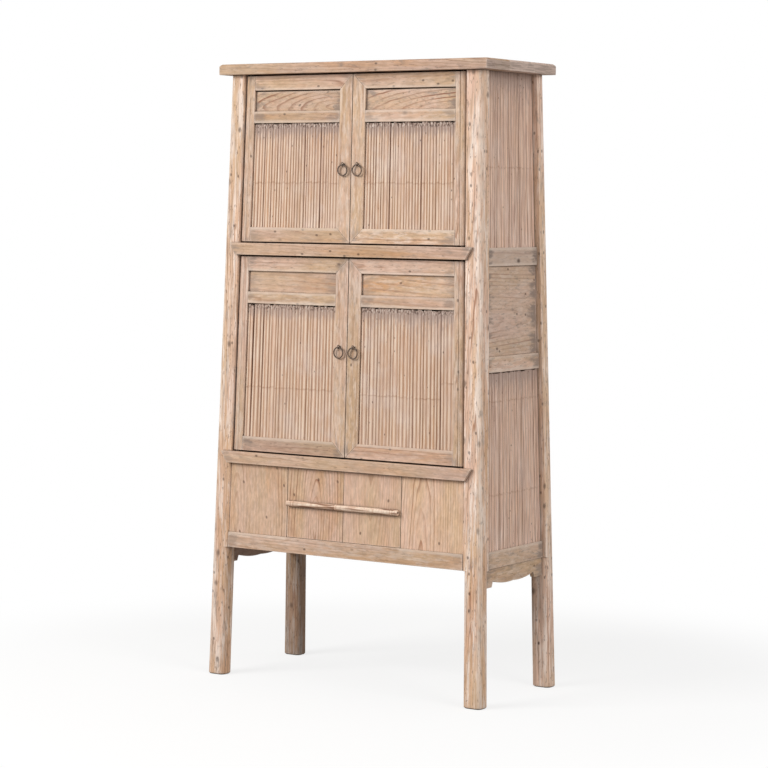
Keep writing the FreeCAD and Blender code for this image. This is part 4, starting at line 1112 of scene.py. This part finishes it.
FLOOR_RADIUS, FLOOR_DROP = 40.0, 0.4 * MM
FLOOR_LIT, FLOOR_SEEN = srgb(140, 138, 135), srgb(250, 249, 247)
FLOOR_NEAR, FLOOR_FAR, FLOOR_GLOW = 0.8, 1.9, 0.76
WORLD_LIGHT = 0.50
LIGHT_AIM = (0, 0, 0.9)
CAMERA_YAW, CAMERA_PAN, CAMERA_PITCH, CAMERA_ROLL = 0.57701, 0.0005, -0.07276, 0.00919
CAMERA_DISTANCE, CAMERA_HEIGHT = 7.04631, 1.36191
CAMERA_FOCAL_PIXELS, IMAGE_PIXELS, SENSOR_WIDTH = 2488.0, 768, 36.0


def floor_material():
    """Matt and pale with a shadow near the cabinet, and as white as the background far from it."""
    sh = Shader(bpy.data.materials.new("studio_floor"))
    distance = sh.add("ShaderNodeVectorMath", {0: sh.object_place()}, operation="LENGTH").outputs["Value"]
    far = sh.between(distance, FLOOR_NEAR, FLOOR_FAR)
    seen = sh.seen()
    matt = sh.add("ShaderNodeBsdfDiffuse", {"Color": sh.mix(seen, FLOOR_LIT, FLOOR_SEEN)})
    white = sh.add("ShaderNodeEmission", {"Color": WHITE, "Strength": 1.0})
    share = sh.times(seen, sh.between(far, 0.0, 1.0, FLOOR_GLOW, 1.0))
    return sh.put_out(sh.add("ShaderNodeMixShader", {0: share, 1: matt.outputs[0], 2: white.outputs[0]}))


def studio_floor():
    """A wide disc just under the feet."""
    bm = bmesh.new()
    bmesh.ops.create_circle(bm, cap_ends=True, segments=96, radius=FLOOR_RADIUS)
    mesh = bpy.data.meshes.new("studio_floor")
    bm.to_mesh(mesh)
    bm.free()
    mesh.materials.append(floor_material())
    floor = linked("studio_floor", mesh)
    floor.location.z = -FLOOR_DROP


def surroundings():
    """White all round: full strength where the camera looks, softer as a light."""
    sh = Shader(bpy.data.worlds.new("studio_white"))
    lit = sh.add("ShaderNodeBackground", {"Color": WHITE, "Strength": WORLD_LIGHT})
    white = sh.add("ShaderNodeBackground", {"Color": WHITE, "Strength": 1.0})
    both = sh.add("ShaderNodeMixShader", {0: sh.seen(), 1: lit.outputs[0], 2: white.outputs[0]})
    SCENE.world = sh.put_out(both, "ShaderNodeOutputWorld")


def softbox(name, place, size, power):
    """A large soft light aimed at the middle of the cabinet."""
    lamp = bpy.data.lights.new(name, "AREA")
    lamp.shape = "RECTANGLE"
    lamp.size, lamp.size_y = size
    lamp.energy = power
    thing = linked(name, lamp)
    thing.location = place
    thing.rotation_mode = "QUATERNION"
    thing.rotation_quaternion = (Vector(LIGHT_AIM) - Vector(place)).to_track_quat("-Z", "Y")


def photo_camera():
    """The photo's camera, as fitted to the cabinet's edges."""
    data = bpy.data.cameras.new("photo_camera")
    data.sensor_width = SENSOR_WIDTH
    data.lens = CAMERA_FOCAL_PIXELS / IMAGE_PIXELS * SENSOR_WIDTH
    camera = linked("photo_camera", data)
    place = Matrix.Rotation(CAMERA_YAW, 4, "Z") @ Vector((0, -CAMERA_DISTANCE, CAMERA_HEIGHT))
    turn = (Matrix.Rotation(CAMERA_YAW - CAMERA_PAN, 4, "Z")
            @ Matrix.Rotation(pi / 2 + CAMERA_PITCH, 4, "X") @ Matrix.Rotation(CAMERA_ROLL, 4, "Z"))
    camera.matrix_world = Matrix.Translation(place) @ turn
    SCENE.camera = camera


# The cabinet in its studio

OUTER_WEAR, HEAVY_WEAR, INNER_WEAR = 1.1 * MM, 1.6 * MM, 0.8 * MM

for node, slot in sorted(SLOTS.items()):
    if slot == "washed_wood":
        dressed_wood(node, WASHED, HEAVY_WEAR if "post" in node or "top" in node else OUTER_WEAR)
    elif slot == "inner_wood":
        dressed_wood(node, INNER, INNER_WEAR)
for node, panel in PANELS.items():
    slats(node, panel)
for tier, height in PULL_HEIGHTS.items():
    for hand in ("left", "right"):
        forged_ring(f"{tier}_{hand}_pull_ring")
        forged_eye(f"{tier}_{hand}_pull_eye", height)
culm("hatch_handle")
nails("handle_pegs")
studio_floor()
surroundings()
softbox("key_softbox", (-2.4, -4.2, 3.3), (2.8, 2.4), power=190)
softbox("side_softbox", (4.5, -1.5, 2.8), (2.4, 2.4), power=80)
photo_camera()
SCENE.view_settings.view_transform = "Standard"

bpy.context.view_layer.update()
